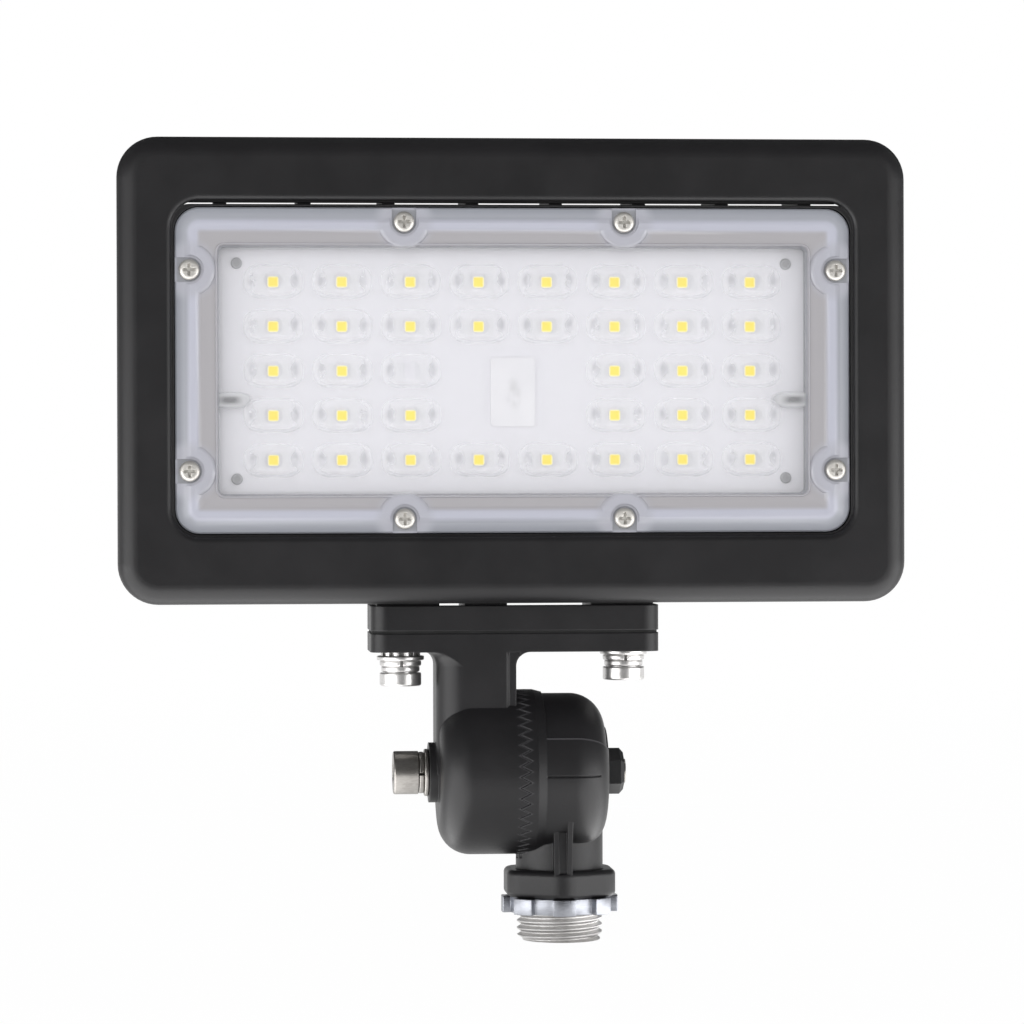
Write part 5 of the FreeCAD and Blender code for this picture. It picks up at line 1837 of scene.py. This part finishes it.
@dataclass
class Studio:
    """White floor, soft lamps, cards for the gloss, and the camera.

    Eye, aim and the floor's height are in millimetres, the floor's other sizes in metres.
    """

    floor_z: float = -7.05
    floor_size: float = 8.0
    floor_paint: Colour = (0.86, 0.86, 0.86)
    floor_white: float = 0.985
    floor_fade: Pair = (0.25, 1.6)
    fill: float = 0.58
    fill_tint: Colour = (0.97, 0.98, 1.0)
    aim: Point = (HEAD_X, 0.0, 60.0)
    eye: Point = (-93.848, -999.993, 106.920)
    yaw: float = 0.082028
    pitch: float = -0.006922
    roll: float = -0.002737
    lens: float = 140.927
    film: float = 36.0
    sight: float = 50.0

    def build(self) -> None:
        """Sets up everything around the object."""
        scene = bpy.context.scene
        scene.view_settings.view_transform = "Standard"
        self.world(scene)
        self.floor()
        self.cards()
        self.lamps()
        self.camera(scene)

    @staticmethod
    def seen(graph: Graph) -> Sock:
        """1 where the camera sees a surface, straight or by way of gloss or clear plastic.

        Args:
            graph: the tree.

        Returns:
            The mask.
        """
        rays = graph.node("ShaderNodeLightPath", {}, {}).outputs
        seen = Sock(graph, rays["Is Camera Ray"]).over(Sock(graph, rays["Is Glossy Ray"]))
        return seen.over(Sock(graph, rays["Is Transmission Ray"]))

    def world(self, scene: bpy.types.Scene) -> None:
        """White to the camera and in reflections, softer as a light.

        Args:
            scene: the scene.
        """
        graph = Graph("white_room", in_world=True)
        soft = {"Color": self.fill_tint, "Strength": self.fill}
        light = graph.value("ShaderNodeBackground", {}, soft)
        white = graph.value("ShaderNodeBackground", {}, {"Color": WHITE})
        ways = {0: self.seen(graph), 1: light, 2: white}
        shown = graph.value("ShaderNodeMixShader", {}, ways)
        graph.node("ShaderNodeOutputWorld", {}, {"Surface": shown})
        scene.world = graph.owner

    def floor(self) -> None:
        """Pale floor that stays white to the camera apart from the object's shadow."""
        Bench.only()
        place = metres((0, 0, self.floor_z))
        bpy.ops.mesh.primitive_plane_add(size=self.floor_size, location=place)
        floor = Bench.start("floor")
        Bench.close()
        graph = Graph("pale_floor")
        paint = graph.value("ShaderNodeBsdfDiffuse", {}, {"Color": self.floor_paint})
        glow = graph.value("ShaderNodeEmission", {}, {"Color": WHITE})
        ways = {0: self.seen(graph) * self.floor_white, 1: paint, 2: glow}
        shown = graph.value("ShaderNodeMixShader", {}, ways)
        away = graph.value("ShaderNodeVectorMath", {"operation": "LENGTH"}, {0: graph.place()}, 1)
        air = graph.value("ShaderNodeBsdfTransparent", {}, {})
        faded = {0: away.step(*self.floor_fade), 1: shown, 2: air}
        Bench.paint(floor, graph.ended(graph.value("ShaderNodeMixShader", {}, faded)))

    def cards(self) -> None:
        """Cards that only reflections see; a tone of 1 or more shines by itself."""
        for card in CARDS:
            graph = Graph(card.name)
            if card.tone < 1:
                paint = graph.value("ShaderNodeBsdfDiffuse", {}, {"Color": (card.tone,) * 3})
            else:
                paint = graph.value("ShaderNodeEmission", {}, {"Strength": card.tone})
            Bench.only()
            bpy.ops.mesh.primitive_plane_add(size=1.0, location=card.place, rotation=card.turn)
            bpy.context.object.scale = (*card.size, 1)
            sheet = Bench.start(card.name)
            Bench.close()
            Bench.paint(sheet, graph.ended(paint))
            sheet.visible_camera = False
            sheet.visible_diffuse = False
            sheet.visible_shadow = False
            sheet.visible_transmission = False

    def lamps(self) -> None:
        """Soft boxes at both sides, and a broad one in front."""
        target = Vector(self.aim) * MM
        for lamp in LAMPS:
            data = bpy.data.lights.new(lamp.name, "AREA")
            data.shape = "RECTANGLE"
            data.size, data.size_y = lamp.size
            data.energy = lamp.power
            box = bpy.data.objects.new(lamp.name, data)
            bpy.context.scene.collection.objects.link(box)
            box.visible_glossy = lamp.mirrored
            box.location = lamp.place
            box.rotation_euler = (target - Vector(lamp.place)).to_track_quat("-Z", "Y").to_euler()

    def camera(self, scene: bpy.types.Scene) -> None:
        """The photograph's eye.

        Args:
            scene: the scene.
        """
        level = math.cos(self.pitch)
        across, along = math.sin(self.yaw), math.cos(self.yaw)
        ahead = Vector((across * level, along * level, math.sin(self.pitch)))
        right = Vector((along, -across, 0.0))
        up = right.cross(ahead)
        turned = math.cos(self.roll) * right + math.sin(self.roll) * up
        upright = math.cos(self.roll) * up - math.sin(self.roll) * right
        data = bpy.data.cameras.new("camera")
        data.lens = self.lens
        data.sensor_width = self.film
        data.clip_end = self.sight
        camera = bpy.data.objects.new("camera", data)
        scene.collection.objects.link(camera)
        turn = Matrix((turned, upright, -ahead)).transposed().to_4x4()
        camera.matrix_world = Matrix.Translation(Vector(self.eye) * MM) @ turn
        scene.camera = camera


def main() -> None:
    """Builds the pieces in order and reports each one."""
    logging.basicConfig(level=logging.INFO, format="%(message)s")
    grid = LensGrid()
    Castings(grid).dress()
    LensPlate(grid).build()
    Emitters(grid).build()
    Nipple().build()
    Locknut().build()
    Studio().build()


if __name__ == "__main__":
    main()
